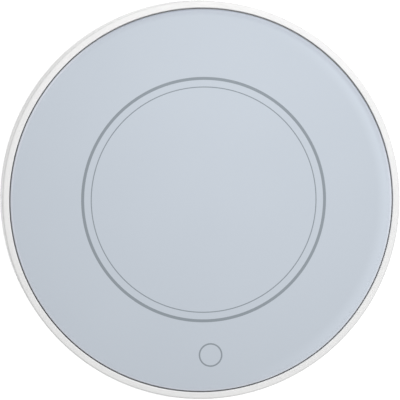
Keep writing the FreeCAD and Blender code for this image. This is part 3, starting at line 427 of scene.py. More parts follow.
def handling_marks(tree, vector, scale, amount):
    """Handling: sparse dust specks, soft smears and hair-fine scratches."""
    specks = add(tree, "TexVoronoi", {"Vector": vector, "Scale": scale}).outputs["Distance"]
    gate = noise(tree, vector, product(tree, scale, 0.06), 3.0)
    dust = product(tree, span(tree, specks, 0.05, 0.11, 1.0, 0.0), span(tree, gate, 0.5, 0.68))
    swept = stretched(tree, vector, 1.0, 0.35, 1.0)
    smear = span(tree, noise(tree, swept, product(tree, scale, 0.035), 4.0, 0.6), 0.48, 0.72)
    askew = add(tree, "VectorRotate", {"Vector": vector, "Angle": 0.6}).outputs[0]
    hairs = noise(tree, stretched(tree, askew, 0.02, 1.0, 0.3), scale, 1.0)
    scratch = product(tree, span(tree, hairs, 0.74, 0.8), span(tree, gate, 0.52, 0.6))
    return [maths(tree, "MULTIPLY", mask, amount, clamp=True) for mask in (dust, smear, scratch)]


def edge_rub(tree, vector, scale):
    """Worn edges: a mask that is high along outer edges and broken up by noise."""
    edge = add(tree, "NewGeometry").outputs["Pointiness"]
    return [product(tree, span(tree, edge, 0.51, 0.58), noise(tree, vector, scale, 3.0))]


EFFECTS = {
    "grain": (moulded_grain, ("Height", "Tone")),
    "lines": (drawn_lines, ("Height", "Tone")),
    "flakes": (flat_flakes, ("Height", "Tone")),
    "weave": (woven_threads, ("Height", "Tone")),
    "marks": (handling_marks, ("Dust", "Smear", "Scratch")),
    "rub": (edge_rub, ("Mask",)),
}
built_effects = {}
built_finishes = {}


def effect_group(fill, results, amounts):
    """A node group round an effect: a vector and the named amounts go in, and its results come out."""
    group = bpy.data.node_groups.new(fill.__name__, "ShaderNodeTree")
    group.interface.new_socket("Vector", in_out="INPUT", socket_type="NodeSocketVector")
    for labels, way in ((amounts, "INPUT"), (results, "OUTPUT")):
        for label in labels:
            group.interface.new_socket(label, in_out=way, socket_type="NodeSocketFloat")
    enter = group.nodes.new("NodeGroupInput").outputs
    leave = group.nodes.new("NodeGroupOutput").inputs
    made = fill(group, *[enter[label] for label in ("Vector", *amounts)])
    feed(group, leave, dict(zip(results, made)))
    return group


def use_effect(tree, name, place, scale, **more):
    """A shared effect in a material, with this material's own values."""
    amounts = {"Scale": scale, **more}
    if name not in built_effects:
        built_effects[name] = effect_group(*EFFECTS[name], amounts)
    return add(tree, "Group", {"Vector": place, **amounts}, node_tree=built_effects[name]).outputs


def new_finish(name):
    """An empty material with a Principled shader, and the object coordinates its patterns read."""
    finish = bpy.data.materials.new(name)
    finish.use_nodes = True
    tree = finish.node_tree
    tree.nodes.clear()
    shader = add(tree, "BsdfPrincipled")
    tree.links.new(shader.outputs[0], add(tree, "OutputMaterial").inputs["Surface"])
    place = add(tree, "TexCoord").outputs["Object"]
    return finish, tree, shader.inputs, place


def surface(tree, inputs, tint, gloss, height, depth):
    """Feeds the shader its colour, its roughness, and a relief that is depth millimetres deep."""
    bump = add(tree, "Bump", {"Strength": 1.0, "Distance": depth * MM, "Height": height})
    feed(tree, inputs, {"Base Color": tint, "Roughness": gloss, "Normal": bump.outputs[0]})


# One row for each plain finish: pattern, pattern scale, relief depth in millimetres, colour, deeper colour,
# roughness from and to, and how metallic it is.
PLAIN_FINISHES = {
    "foot_silicone": ("grain", 2200, 0.02, (0.5, 0.505, 0.51), (0.43, 0.435, 0.44), 0.62, 0.8, 0),
    "screw_steel": ("lines", 3800, 0.004, (0.62, 0.61, 0.59), (0.46, 0.455, 0.44), 0.26, 0.42, 1),
    "bonding_tape": ("grain", 1800, 0.03, (0.2, 0.2, 0.21), (0.15, 0.15, 0.16), 0.7, 0.9, 0),
    "seal_silicone": ("grain", 2400, 0.015, (0.62, 0.10, 0.06), (0.5, 0.075, 0.05), 0.45, 0.6, 0),
    "heat_film": ("grain", 1500, 0.01, (0.42, 0.5, 0.6), (0.36, 0.44, 0.55), 0.6, 0.75, 0),
    "aluminium_sheet": ("lines", 2600, 0.005, (0.80, 0.80, 0.80), (0.68, 0.68, 0.69), 0.25, 0.42, 1),
    "mica_sheet": ("flakes", 520, 0.01, (0.56, 0.47, 0.33), (0.42, 0.34, 0.22), 0.22, 0.5, 0),
    "resistance_foil": ("lines", 3000, 0.003, (0.55, 0.50, 0.43), (0.44, 0.39, 0.33), 0.28, 0.4, 1),
    "fibre_pad": ("weave", 5200, 0.08, (0.80, 0.78, 0.72), (0.66, 0.63, 0.57), 0.85, 0.98, 0),
    "zinc_sheet": ("flakes", 260, 0.004, (0.66, 0.67, 0.68), (0.52, 0.53, 0.55), 0.3, 0.48, 1),
    "bead_resin": ("grain", 3000, 0.01, (0.025, 0.02, 0.02), (0.05, 0.035, 0.03), 0.3, 0.45, 0),
    "wire_white": ("grain", 3200, 0.01, (0.78, 0.78, 0.76), (0.70, 0.70, 0.67), 0.38, 0.52, 0),
    "wire_black": ("grain", 3200, 0.01, (0.02, 0.02, 0.022), (0.035, 0.035, 0.037), 0.36, 0.5, 0),
    "wire_red": ("grain", 3200, 0.01, (0.46, 0.02, 0.018), (0.36, 0.016, 0.014), 0.36, 0.5, 0),
    "tinned_metal": ("lines", 4200, 0.003, (0.70, 0.70, 0.69), (0.58, 0.58, 0.57), 0.25, 0.4, 1),
    "woven_sleeve": ("weave", 9000, 0.06, (0.82, 0.80, 0.74), (0.62, 0.59, 0.52), 0.8, 0.95, 0),
    "chip_resin": ("grain", 3600, 0.008, (0.022, 0.022, 0.024), (0.034, 0.034, 0.036), 0.5, 0.66, 0),
    "capacitor_can": ("lines", 3400, 0.004, (0.74, 0.74, 0.75), (0.64, 0.64, 0.66), 0.22, 0.36, 1),
    "plug_nylon": ("grain", 2800, 0.01, (0.80, 0.79, 0.73), (0.74, 0.73, 0.66), 0.42, 0.56, 0),
    "lamp_resin": ("grain", 2600, 0.004, (0.86, 0.84, 0.66), (0.80, 0.77, 0.58), 0.18, 0.3, 0),
    "spring_steel": ("lines", 5200, 0.003, (0.60, 0.59, 0.57), (0.48, 0.47, 0.45), 0.24, 0.38, 1),
    "shroud_white": ("grain", 2600, 0.012, (0.82, 0.82, 0.80), (0.76, 0.76, 0.74), 0.4, 0.54, 0),
    "inlet_steel": ("lines", 4600, 0.003, (0.70, 0.69, 0.67), (0.56, 0.55, 0.54), 0.2, 0.34, 1),
    "inlet_black": ("grain", 4200, 0.006, (0.018, 0.018, 0.02), (0.03, 0.03, 0.032), 0.42, 0.56, 0),
    "contact_gold": ("lines", 6000, 0.002, (0.83, 0.60, 0.24), (0.70, 0.48, 0.18), 0.2, 0.32, 1),
}


def plain_finish(name):
    """A finish from the table: its pattern drives colour, roughness and relief, and metals rub bright."""
    pattern, scale, depth, base, deeper, smooth, rough, metallic = PLAIN_FINISHES[name]
    finish, tree, inputs, place = new_finish(name)
    out = use_effect(tree, pattern, place, scale)
    tint = blend(tree, out["Tone"], deeper, base)
    gloss = span(tree, out["Tone"], 0.0, 1.0, rough, smooth)
    marks = use_effect(tree, "marks", place, scale * 0.35, Amount=0.6)
    tint = blend(tree, marks["Smear"], tint, [part * 0.9 for part in base])
    if metallic:
        rub = use_effect(tree, "rub", place, scale * 0.5)["Mask"]
        tint = blend(tree, rub, tint, [min(1, part * 1.25) for part in base])
        gloss = maths(tree, "SUBTRACT", gloss, product(tree, rub, 0.1))
    else:
        gloss = maths(tree, "ADD", gloss, product(tree, marks["Dust"], 0.2), clamp=True)
    inputs["Metallic"].default_value = metallic
    surface(tree, inputs, tint, gloss, out["Height"], depth)
    return finish


def board_laminate(name):
    """Circuit board: green mask over a woven core, with copper runs and pads just under the mask."""
    finish, tree, inputs, place = new_finish(name)
    weave = use_effect(tree, "weave", place, 7000)
    parts = add(tree, "SeparateXYZ", {0: place}).outputs
    bend = noise(tree, stretched(tree, place, 1.0, 1.0, 0.0), 90.0, 0.0)
    stepped = maths(tree, "SNAP", bend, 0.05)
    runs = maths(tree, "ADD", product(tree, parts["X"], 420.0), product(tree, stepped, 9.0))
    run = span(tree, maths(tree, "PINGPONG", runs, 0.5), 0.16, 0.2, 1.0, 0.0)
    field = span(tree, noise(tree, place, 60.0, 1.0), 0.5, 0.52)
    copper = product(tree, run, field)
    mask = blend(tree, weave["Tone"], (0.012, 0.10, 0.045), (0.018, 0.13, 0.06))
    tint = blend(tree, copper, mask, (0.04, 0.23, 0.10))
    gloss = span(tree, weave["Tone"], 0.0, 1.0, 0.42, 0.3)
    height = maths(tree, "MULTIPLY_ADD", weave["Height"], 0.3, copper)
    surface(tree, inputs, tint, gloss, height, 0.02)
    return finish


def white_shell(name):
    """White moulded shell: satin grain, faint dust and painted shade in the seam and round the glass, worn outer
    edges.
    """
    housing = bpy.context.scene.warmer_housing
    finish, tree, inputs, place = new_finish(name)
    grain = use_effect(tree, "grain", place, 2400)
    marks = use_effect(tree, "marks", place, 700, Amount=0.7)
    rub = use_effect(tree, "rub", place, 900)["Mask"]
    level, _, radius = plan(tree, place)
    off_seam = maths(tree, "ABSOLUTE", maths(tree, "SUBTRACT", level, housing.seam + housing.reveal / 2))
    seam = span(tree, off_seam, 0.1 * MM, 0.5 * MM, 1.0, 0.0)
    below_rim = span(tree, level, RIM_LEVEL - 1.6 * MM, RIM_LEVEL - 0.3 * MM, 1.0, 0.0)
    inside_rim = span(tree, radius, OUTER_R - housing.rim_width, OUTER_R - 2 * MM, 1.0, 0.0)
    in_gap = product(tree, below_rim, inside_rim)
    # Dust and painted shade: darker and rougher along the seam's groove and in the gap round the glass.
    dust_and_shade = maths(tree, "MAXIMUM", product(tree, seam, 0.45), product(tree, in_gap, 0.08))
    tint = blend(tree, grain["Tone"], housing.shell_shade, housing.shell)
    tint = blend(tree, dust_and_shade, tint, (0.62, 0.615, 0.6))
    tint = blend(tree, product(tree, marks["Dust"], 0.25), tint, (0.66, 0.65, 0.63))
    tint = blend(tree, product(tree, rub, 0.4), tint, (0.9, 0.9, 0.9))
    gloss = span(tree, grain["Tone"], 0.0, 1.0, 0.46, 0.38)
    gloss = maths(tree, "MULTIPLY_ADD", marks["Smear"], -0.06, gloss)
    gloss = maths(tree, "MULTIPLY_ADD", dust_and_shade, 0.3, gloss, clamp=True)
    inputs["IOR"].default_value = 1.53
    height = maths(tree, "MULTIPLY_ADD", marks["Scratch"], -0.6, grain["Height"])
    surface(tree, inputs, tint, gloss, height, 0.008)
    return finish


def glass_look(name, base, deeper):
    """Clear glass with a painted back, shown as paint under a hard clear coat, with faint smears and dust, and with
    light and shade painted along its edge.
    """
    glass = bpy.context.scene.warmer_glass
    finish, tree, inputs, place = new_finish(name)
    marks = use_effect(tree, "marks", place, 520, Amount=1.0)
    slow = use_effect(tree, "grain", place, 1300)
    level, flat, radius = plan(tree, place)
    edge, top, round_r = glass_high.x, glass_high.z, glass.edge_round
    rounding = span(tree, radius, edge - round_r, edge - round_r / 3)
    side = span(tree, level, top - 2 * round_r, top - round_r / 2, 1.0, 0.0)
    ahead = add(tree, "VectorMath", {0: flat}, operation="NORMALIZE").outputs[0]
    to_back, to_right = (
        add(tree, "VectorMath", {0: ahead, 1: way}, operation="DOT_PRODUCT").outputs["Value"]
        for way in ((0.38, 0.92, 0), (0.99, -0.1, 0))
    )
    tint = blend(tree, slow["Tone"], deeper, base)
    # Painted highlight: the paint is lighter in a band near the edge on the right-hand side.
    outer_band = span(tree, radius, edge - 5.5 * MM, edge - 1.5 * MM)
    painted_light_band = product(tree, outer_band, span(tree, to_right, 0.2, 0.95, 0.0, 0.75))
    tint = blend(tree, painted_light_band, tint, [part * 1.13 for part in base])
    # Painted shade toward the back: a band near the edge and the round edge go darker there, and the round edge is
    # painted light toward the front.
    painted_shade_side = span(tree, to_back, 0.3, 0.85)
    near_edge = span(tree, radius, edge - 2.4 * MM, edge - 0.7 * MM, 0.0, 0.75)
    tint = blend(tree, product(tree, near_edge, painted_shade_side), tint, glass.painted_edge_shade)
    tint = blend(tree, rounding, tint, blend(tree, painted_shade_side, glass.painted_edge_light, glass.painted_edge_shade))
    # Painted light: the upright side is painted pale, as if the glass carried light into the gap.
    tint = blend(tree, side, tint, glass.painted_side_light)
    tint = blend(tree, product(tree, marks["Dust"], 0.12), tint, (0.75, 0.76, 0.77))
    tint = blend(tree, product(tree, marks["Smear"], 0.03), tint, (0.7, 0.72, 0.74))
    gloss = span(tree, marks["Smear"], 0.0, 1.0, 0.34, 0.42)
    gloss = maths(tree, "MULTIPLY_ADD", marks["Dust"], 0.3, gloss)
    coat = span(tree, marks["Smear"], 0.0, 1.0, 1.0, 0.86)
    coat = maths(tree, "MULTIPLY_ADD", rounding, -0.7, coat, clamp=True)
    feed(tree, inputs, {"Specular IOR Level": 0.25, "Coat Weight": coat, "Coat Roughness": 0.04, "Coat IOR": 1.5})
    height = maths(tree, "MULTIPLY_ADD", marks["Scratch"], -1.0, product(tree, marks["Dust"], 0.6))
    surface(tree, inputs, tint, gloss, height, 0.004)
    return finish


def painted_glass(name):
    """The glass where its back is painted."""
    glass = bpy.context.scene.warmer_glass
    return glass_look(name, glass.paint, glass.paint_shade)


def ring_ink(name):
    """The glass where its back is printed."""
    ink = bpy.context.scene.warmer_glass.ink
    return glass_look(name, ink, [part * 0.95 for part in ink])


SPECIAL_FINISHES = {
    "white_shell": white_shell,
    "painted_glass": painted_glass,
    "ring_ink": ring_ink,
    "board_laminate": board_laminate,
}


def finish_named(name):
    """The material of a slot, built the first time it is asked for."""
    if name not in built_finishes:
        built_finishes[name] = SPECIAL_FINISHES.get(name, plain_finish)(name)
    return built_finishes[name]


# Pieces


def glass_top_mesh(glass):
    """The glass with its rings as faces of their own, so that the print keeps sharp borders."""
    bm = bmesh.new()
    radius, top, under = glass_high.x, glass_high.z, glass_low.z
    flat_r, inner_r = radius - 2 * glass.edge_round, radius - 2 * glass.under_chamfer
    corners = [(radius, top, glass.edge_round, 8), (radius, under, glass.under_chamfer, 1)]
    turned(bm, [(flat_r, top), *corners, (inner_r, under)], steps=BODY_STEPS)
    middle = Vector((glass.print_shift_x, glass.print_shift_y))
    for centre, steps, lines in (
        (middle, BODY_STEPS, ((glass.thin_ring, glass.thin_line), (glass.thick_ring, glass.thick_line))),
        (middle - Vector((0, glass.key_reach)), HOLE_STEPS, ((glass.key_ring, glass.key_line),)),
    ):
        borders = [ring + line * part for ring, line in lines for part in (-0.5, 0.5)]
        turned(bm, [(border, top) for border in [0, *borders]], centre, steps)
        for face in bm.faces:
            reach = (face.calc_center_median().xy - centre).length
            if any(abs(reach - ring) < line / 2 for ring, line in lines):
                face.material_index = 1
    fill_level(bm, top)
    fill_level(bm, under)
    return closed_mesh(bm, "glass_top")


# Bosses under the deck, in millimetres: places, radius, end level, and radius and depth of the screw's hole.
# The rows are for the case screws, the heater bracket, the control board and the inlet board.
INLET_SCREWS_Y = sum(corner.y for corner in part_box("inlet_screws")) / 2 / MM
DECK_BOSSES = (
    (ring_places(50, 4, 45), 3.5, 8, 1.2, 6.1),
    (ring_places(47, 3, 90), 3, 15.7, 1, 4.4),
    (((-27, -41), (27, -41), (-16, -55.5), (16, -55.5)), 3, 13.6, 1, 4.4),
    (((-9.5, INLET_SCREWS_Y), (9.5, INLET_SCREWS_Y)), 2.8, 12.77, 1, 4.4),
)
KEY_HOLE_R = 6.2 * MM


def upper_shell_mesh(housing):
    """The upper shell: rim, deck, side wall and screw bosses, before the inlet's pocket is cut."""
    bm = bmesh.new()
    small, inner_r = housing.edge_break, OUTER_R - housing.wall
    recess_r = OUTER_R - housing.rim_width
    rebate_r = inner_r + housing.tongue + housing.play
    rebate_level = lower_high.z + housing.play
    reveal_level = housing.seam + housing.reveal
    edge_r = inner_r - 1 * MM  # where the deck's two flat faces are filled from
    reveal_r = OUTER_R - housing.reveal_depth
    rows = [
        (edge_r, DECK_UNDER),
        (inner_r, DECK_UNDER, small),
        (inner_r, rebate_level),
        (rebate_r, rebate_level),
        (rebate_r, housing.seam, small / 2, 2),
        (reveal_r, housing.seam, small / 2, 2),
        (reveal_r, reveal_level),
        (OUTER_R, reveal_level, small / 2, 2),
        (OUTER_R, RIM_LEVEL, housing.rim_round, 8),
        (recess_r, RIM_LEVEL, housing.lip_round, 6),
        (recess_r, DECK_TOP),
        (edge_r, DECK_TOP),
    ]
    turned(bm, rows, steps=BODY_STEPS)
    hole, eased = housing.opening, housing.opening + small * 2
    rows = [(eased, DECK_TOP), (hole, DECK_TOP, small), (hole, DECK_UNDER, small), (eased, DECK_UNDER)]
    turned(bm, rows, steps=BODY_STEPS)
    eased = KEY_HOLE_R + small
    rows = [(eased, DECK_TOP), (KEY_HOLE_R, DECK_TOP - small), (KEY_HOLE_R, DECK_UNDER + small), (eased, DECK_UNDER)]
    turned(bm, rows, (0, -bpy.context.scene.warmer_glass.key_reach))
    for places, *sizes in DECK_BOSSES:
        boss_r, boss_level, pilot_r, pilot_depth = (size * MM for size in sizes)
        for x, y in places:
            rows = [
                (boss_r, DECK_UNDER),
                (boss_r, boss_level, small),
                (pilot_r + small, boss_level),
                (pilot_r, boss_level + small),
                (pilot_r, boss_level + pilot_depth),
                (0, boss_level + pilot_depth),
            ]
            turned(bm, rows, (x * MM, y * MM), BOSS_STEPS)
    # A block behind the inlet takes the push of a plug.
    half_x, half_y, room = 5 * MM, 0.75 * MM, 0.25 * MM
    stop_low = shell_low.z + room
    levels = ((small, DECK_UNDER), (small, stop_low + small), (small / 2, stop_low))
    rows = [(corner, half_x - small, half_y - small, level) for corner, level in levels]
    place = Matrix.Translation((0, shell_low.y - room - half_y, 0))
    tiers(bm, rows, place, BLOCK_STEPS, [-1])
    fill_level(bm, DECK_UNDER)
    fill_level(bm, DECK_TOP)
    return closed_mesh(bm, "upper_shell")


def pocket_cutter_mesh(inlet):
    """What is cut from the side for the inlet: the slot through the wall, the pocket and its soft border."""
    bm = bmesh.new()
    slot_r = (shell_high.z - shell_low.z) / 2 + inlet.play
    slot_x = (shell_high.x - shell_low.x) / 2 + inlet.play - slot_r
    corner = inlet.pocket_round
    half_x, half_z = inlet.pocket_width / 2 - corner, inlet.pocket_height / 2 - corner
    plane = OUTER_R - inlet.pocket_depth
    border, inside, outside = 0.3 * MM, 2.5 * MM, 2 * MM
    # The slot and its flared mouth, then the pocket's eased floor, its wall and its rounded border.
    rows = [(slot_r, slot_x, 0, plane - inside), (slot_r, slot_x, 0, plane - 0.25 * MM)]
    rows += [(slot_r + grow * MM, slot_x, 0, plane - drop * MM) for grow, drop in ((0.07, 0.08), (0.25, 0))]
    rows += [(corner - back * MM, half_x, half_z, plane + rise * MM) for back, rise in ((0.3, 0), (0.09, 0.09))]
    rows += [(corner, half_x, half_z, border, OUTER_R)]
    for turn in (30, 60):
        lift = math.radians(turn)
        growth, depth = border * (1 - math.cos(lift)), border * (1 - math.sin(lift))
        rows.append((corner + growth, half_x, half_z, depth, OUTER_R))
    rows.append((corner + 2.2 * border, half_x, half_z, -border, OUTER_R))
    rows.append((corner + 2.4 * border, half_x, half_z, OUTER_R + outside))
    tiers(bm, rows, UPRIGHT, ROUND_STEPS, (0, -1))
    return closed_mesh(bm, "pocket_cutter")


def cut_mesh(mesh, cutter_mesh, name):
    """The mesh with the cutter's room taken out of it."""
    body, cutter = (bpy.data.objects.new(name, data) for data in (mesh, cutter_mesh))
    for part in (body, cutter):
        bpy.context.scene.collection.objects.link(part)
    cut = body.modifiers.new("cut", "BOOLEAN")
    cut.operation, cut.solver, cut.object = "DIFFERENCE", "EXACT", cutter
    bpy.context.view_layer.update()
    result = bpy.data.meshes.new_from_object(body.evaluated_get(bpy.context.evaluated_depsgraph_get()))
    for part in (body, cutter):
        bpy.data.objects.remove(part)
    bm = bmesh.new()
    bm.from_mesh(result)
    return closed_mesh(bm, name)


# Room between a foot and its seat.
FOOT_ROOM = 0.15 * MM


def lower_shell_mesh(housing, under):
    """The lower shell: underside with its seats, vents and blank recess, screw towers and wire guides."""
    bm = bmesh.new()
    small, wall = housing.edge_break, housing.wall
    inner_r, floor = OUTER_R - wall, UNDERSIDE + wall
    tongue_r = inner_r + housing.tongue
    edge_r = OUTER_R - housing.bottom_round - 1 * MM  # where the underside's flat faces are filled from
    rows = [
        (edge_r, UNDERSIDE),
        (OUTER_R, UNDERSIDE, housing.bottom_round, 16),
        (OUTER_R, housing.seam, small),
        (tongue_r, housing.seam),
        (tongue_r, lower_high.z, small, 2),
        (inner_r, lower_high.z, small, 2),
        (inner_r, floor, housing.bottom_round - wall, 10),
        (edge_r, floor),
    ]
    turned(bm, rows, steps=BODY_STEPS)
    # Screw towers, each with a wide bore for the screw's head and a hole for its shank.
    tower_r, tower_level, bore_r, bore_depth, hole_r = (size * MM for size in (4.2, 8, 3.1, 3, 1.45))
    bore_level = UNDERSIDE + bore_depth
    rows = [
        (bore_r + small, UNDERSIDE),
        (bore_r, UNDERSIDE + small),
        (bore_r, bore_level),
        (hole_r, bore_level),
        (hole_r, tower_level),
        (tower_r, tower_level, small),
        (tower_r, floor + small),
        (tower_r + small, floor),
    ]
    for place in ring_places(under.screw_reach, 4, 45):
        turned(bm, rows, place)
    seat_r = feet_high.x - under.foot_reach + FOOT_ROOM
    for place in ring_places(under.foot_reach, 4, 0):
        turned(bm, [(seat_r + small, UNDERSIDE), (seat_r, UNDERSIDE + small), (seat_r, feet_high.z)], place)
    half = under.vent_width / 2
    across = under.vent_length / 2 - half
    steps = ((small, 0), (small * 0.3, small * 0.3), (0, small))
    rows = [(half + wider, across, 0, UNDERSIDE + deep) for wider, deep in steps]
    rows += [(half, across, 0, floor - small), (half + small, across, 0, floor)]
    for step in range(under.vent_count):
        place = Matrix.Translation((0, -under.vent_first - under.vent_pitch * step, 0))
        tiers(bm, rows, place, BOSS_STEPS)
    corner, ease = under.label_round, 0.1 * MM
    label_x, label_y = under.label_width / 2 - corner, under.label_depth / 2 - corner
    steps = ((ease, 0), (0, ease), (-ease / 2, under.label_sink))
    rows = [(corner + wider, label_x, label_y, UNDERSIDE + deep) for wider, deep in steps]
    tiers(bm, rows, Matrix.Translation((0, under.label_y, 0)))
    # Two pairs of upright guides hold the wires.
    guides_x, guides_y, reach = -17 * MM, (-8 * MM, 18 * MM), 2.95 * MM
    half_x, half_y, height = 0.6 * MM, 3 * MM, 3.2 * MM
    levels = ((small, 0), (small, height - small), (small / 2, height))
    rows = [(corner, half_x - small, half_y - small, floor + level) for corner, level in levels]
    for guide_y in guides_y:
        for side in (-1, 1):
            place = Matrix.Translation((guides_x + side * reach, guide_y, 0))
            tiers(bm, rows, place, BLOCK_STEPS, [-1])
    for level in (UNDERSIDE, floor, feet_high.z, UNDERSIDE + under.label_sink):
        fill_level(bm, level)
    return closed_mesh(bm, "lower_shell")


def feet_mesh(under):
    """Four silicone feet, each with a rounded sole and a shallow ring groove."""
    bm = bmesh.new()
    foot_r, deep = feet_high.x - under.foot_reach, under.foot_groove
    soft, outer, inner, slope = 0.1 * MM, 4.5 * MM, 3.3 * MM, 0.2 * MM
    rows = [
        (0, feet_high.z),
        (foot_r, feet_high.z, 0.15 * MM, 2),
        (foot_r, 0, 0.5 * MM, 5),
        (outer, 0, soft, 2),
        (outer - slope, deep, soft, 2),
        (inner + slope, deep, soft, 2),
        (inner, 0, soft, 2),
        (0, 0),
    ]
    for place in ring_places(under.foot_reach, 4, 0):
        turned(bm, rows, place)
    return closed_mesh(bm, "feet_soles")


def screws_mesh(under):
    """Four case screws: rounded head with a cross recess, and a threaded shank."""
    bm = bmesh.new()
    face, tip = screws_low.z, screws_high.z
    seat, head_r, thread_r, core_r = face + 1.8 * MM, 2.6 * MM, 1.15 * MM, 0.9 * MM
    blade, arm, sink, pitch, tip_r = 0.35 * MM, 1.56 * MM, 1.08 * MM, 0.9 * MM, 0.3 * MM
    narrowing = 0.8  # the cross recess's floor against its opening
    crests = int((tip - seat - pitch) / pitch)
    thread = []
    for step in range(crests):
        level = seat + pitch * (step + 0.5)
        thread += [(core_r, level - 0.25 * pitch), (thread_r, level), (core_r, level + 0.25 * pitch)]
    crown = 0.6 * MM
    head = [(head_r - 0.7 * MM, face), (head_r, face, crown, 6), (head_r, seat, crown / 5, 2), (core_r, seat)]
    point = [(core_r, tip - pitch), (tip_r, tip), (0, tip)]
    for place in ring_places(under.screw_reach, 4, 45):
        turned(bm, head + thread + point, place, ROUND_STEPS)
        grid = bmesh.ops.create_grid(bm, x_segments=3, y_segments=3, size=1)["verts"]
        for vert in grid:
            for axis in (0, 1):
                vert.co[axis] = math.copysign(arm if abs(vert.co[axis]) > 0.5 else blade, vert.co[axis])
        faces = list(dict.fromkeys(part for vert in grid for part in vert.link_faces))
        corners = [part for part in faces if min(abs(part.calc_center_median().xy[axis]) for axis in (0, 1)) > blade]
        bmesh.ops.delete(bm, geom=corners, context="FACES")
        floor = [part for part in faces if part.is_valid]
        verts = list(dict.fromkeys(vert for part in floor for vert in part.verts))
        bmesh.ops.scale(bm, vec=(narrowing, narrowing, 1), verts=verts)
        bmesh.ops.translate(bm, vec=(*place, face + sink), verts=verts)
        outline = list(dict.fromkeys(edge for part in floor for edge in part.edges if edge.is_boundary))
        made = bmesh.ops.extrude_edge_only(bm, edges=outline)["geom"]
        opening = [part for part in made if isinstance(part, bmesh.types.BMVert)]
        bmesh.ops.translate(bm, vec=(0, 0, -sink), verts=opening)
        middle = Matrix.Translation((-place[0], -place[1], 0))
        bmesh.ops.scale(bm, vec=(1 / narrowing, 1 / narrowing, 1), space=middle, verts=opening)
    fill_level(bm, face)
    return closed_mesh(bm, "case_screws")


def inlet_shell_mesh(inlet):
    """The inlet's steel shell: a drawn cup with a rolled lip."""
    bm = bmesh.new()
    outer, sheet = (shell_high.z - shell_low.z) / 2, inlet.sheet
    across = shell_high.x - outer
    inner, front, back = outer - sheet, shell_high.y, shell_low.y
    half = sheet / 2
    rows = [(inner - 0.2 * MM, back + sheet), (inner, back + sheet + 0.2 * MM), (inner, front - half)]
    for turn in range(30, 180, 30):
        lift = math.radians(turn)
        rows.append((inner + half * (1 - math.cos(lift)), front - half * (1 - math.sin(lift))))
    rows += [(outer, front - half), (outer, back + 0.3 * MM), (outer - 0.1 * MM, back + 0.08 * MM),
             (outer - 0.3 * MM, back)]
    tiers(bm, [(radius, across, 0, y) for radius, y in rows], UPRIGHT, ROUND_STEPS, (0, -1))
    return closed_mesh(bm, "inlet_cup")


def inlet_tongue_mesh():
    """The inlet's tongue: a block at the back and a flat plate with an eased nose."""
    bm = bmesh.new()
    block_r = (tongue_high.z - tongue_low.z) / 2
    block_x = tongue_high.x - block_r
    step_y, nose_y, back_y = contacts_low.y, tongue_high.y, tongue_low.y
    plate_x, plate_z, soft = 6.69 * MM / 2, 0.35 * MM, 0.08 * MM
    ease = 0.1 * MM
    levels = ((ease, back_y), (0, back_y + ease), (0, step_y - ease), (ease, step_y))
    rows = [(block_r - less, block_x, 0, y) for less, y in levels]
    for thin_x, thin_z, y in (
        (0, 0, step_y),
        (0, 0, nose_y - 0.35 * MM),
        (0.12 * MM, 0.08 * MM, nose_y - ease),
        (0.3 * MM, 0.18 * MM, nose_y),
    ):
        rows.append((soft, plate_x - soft - thin_x, plate_z - soft - thin_z, y))
    tiers(bm, rows, UPRIGHT, ROUND_STEPS, (0, -1))
    return closed_mesh(bm, "inlet_blade")


def inlet_contacts_mesh():
    """Eight contact strips, four on each face of the tongue, with eased edges."""
    bm = bmesh.new()
    half_x, half_z, soft, pitch = 0.2 * MM, 0.05 * MM, 0.02 * MM, 1.6 * MM
    back, front = contacts_low.y, contacts_high.y
    for level in (contacts_high.z - half_z, contacts_low.z + half_z):
        for step in (-1.5, -0.5, 0.5, 1.5):
            place = Matrix.Translation((pitch * step, 0, level - INLET_LEVEL)) @ UPRIGHT
            rows = [(soft, half_x - soft, half_z - soft, y) for y in (back, front - 0.1 * MM)]
            rows.append((soft / 2, half_x - 2 * soft, half_z - 1.5 * soft, front))
            tiers(bm, rows, place, BLOCK_STEPS // 2, (0, -1))
    return closed_mesh(bm, "inlet_strips")


class MUG_WARMER_OT_glass_top(bpy.types.Operator):
    """Round glass top with its printed rings"""

    bl_idname = "mug_warmer.glass_top"
    bl_label = "Glass top"

    def execute(self, context):
        mesh = glass_top_mesh(context.scene.warmer_glass)
        new_piece(mesh, "glass_top", "glass_plate", "painted_glass", "ring_ink")
        return {"FINISHED"}


class MUG_WARMER_OT_shells(bpy.types.Operator):
    """Upper and lower white shells"""

    bl_idname = "mug_warmer.shells"
    bl_label = "Shells"

    def execute(self, context):
        scene = context.scene
        whole = upper_shell_mesh(scene.warmer_housing)
        upper = cut_mesh(whole, pocket_cutter_mesh(scene.warmer_inlet), "upper_shell")
        lower = lower_shell_mesh(scene.warmer_housing, scene.warmer_underside)
        new_piece(upper, "upper_shell", "upper_housing", "white_shell")
        new_piece(lower, "lower_shell", "lower_housing", "white_shell")
        return {"FINISHED"}


class MUG_WARMER_OT_underside(bpy.types.Operator):
    """Silicone feet and case screws"""

    bl_idname = "mug_warmer.underside"
    bl_label = "Feet and case screws"

    def execute(self, context):
        under = context.scene.warmer_underside
        new_piece(feet_mesh(under), "feet_soles", "feet", "foot_silicone")
        new_piece(screws_mesh(under), "case_screws", "base_screws", "screw_steel")
        return {"FINISHED"}


class MUG_WARMER_OT_inlet(bpy.types.Operator):
    """Power inlet: steel shell, tongue and contact strips"""

    bl_idname = "mug_warmer.inlet"
    bl_label = "Power inlet"

    def execute(self, context):
        for mesh, node, slot in (
            (inlet_shell_mesh(context.scene.warmer_inlet), "inlet_shell", "inlet_steel"),
            (inlet_tongue_mesh(), "inlet_tongue", "inlet_black"),
            (inlet_contacts_mesh(), "inlet_contacts", "contact_gold"),
        ):
            new_piece(mesh, mesh.name, node, slot)
        return {"FINISHED"}


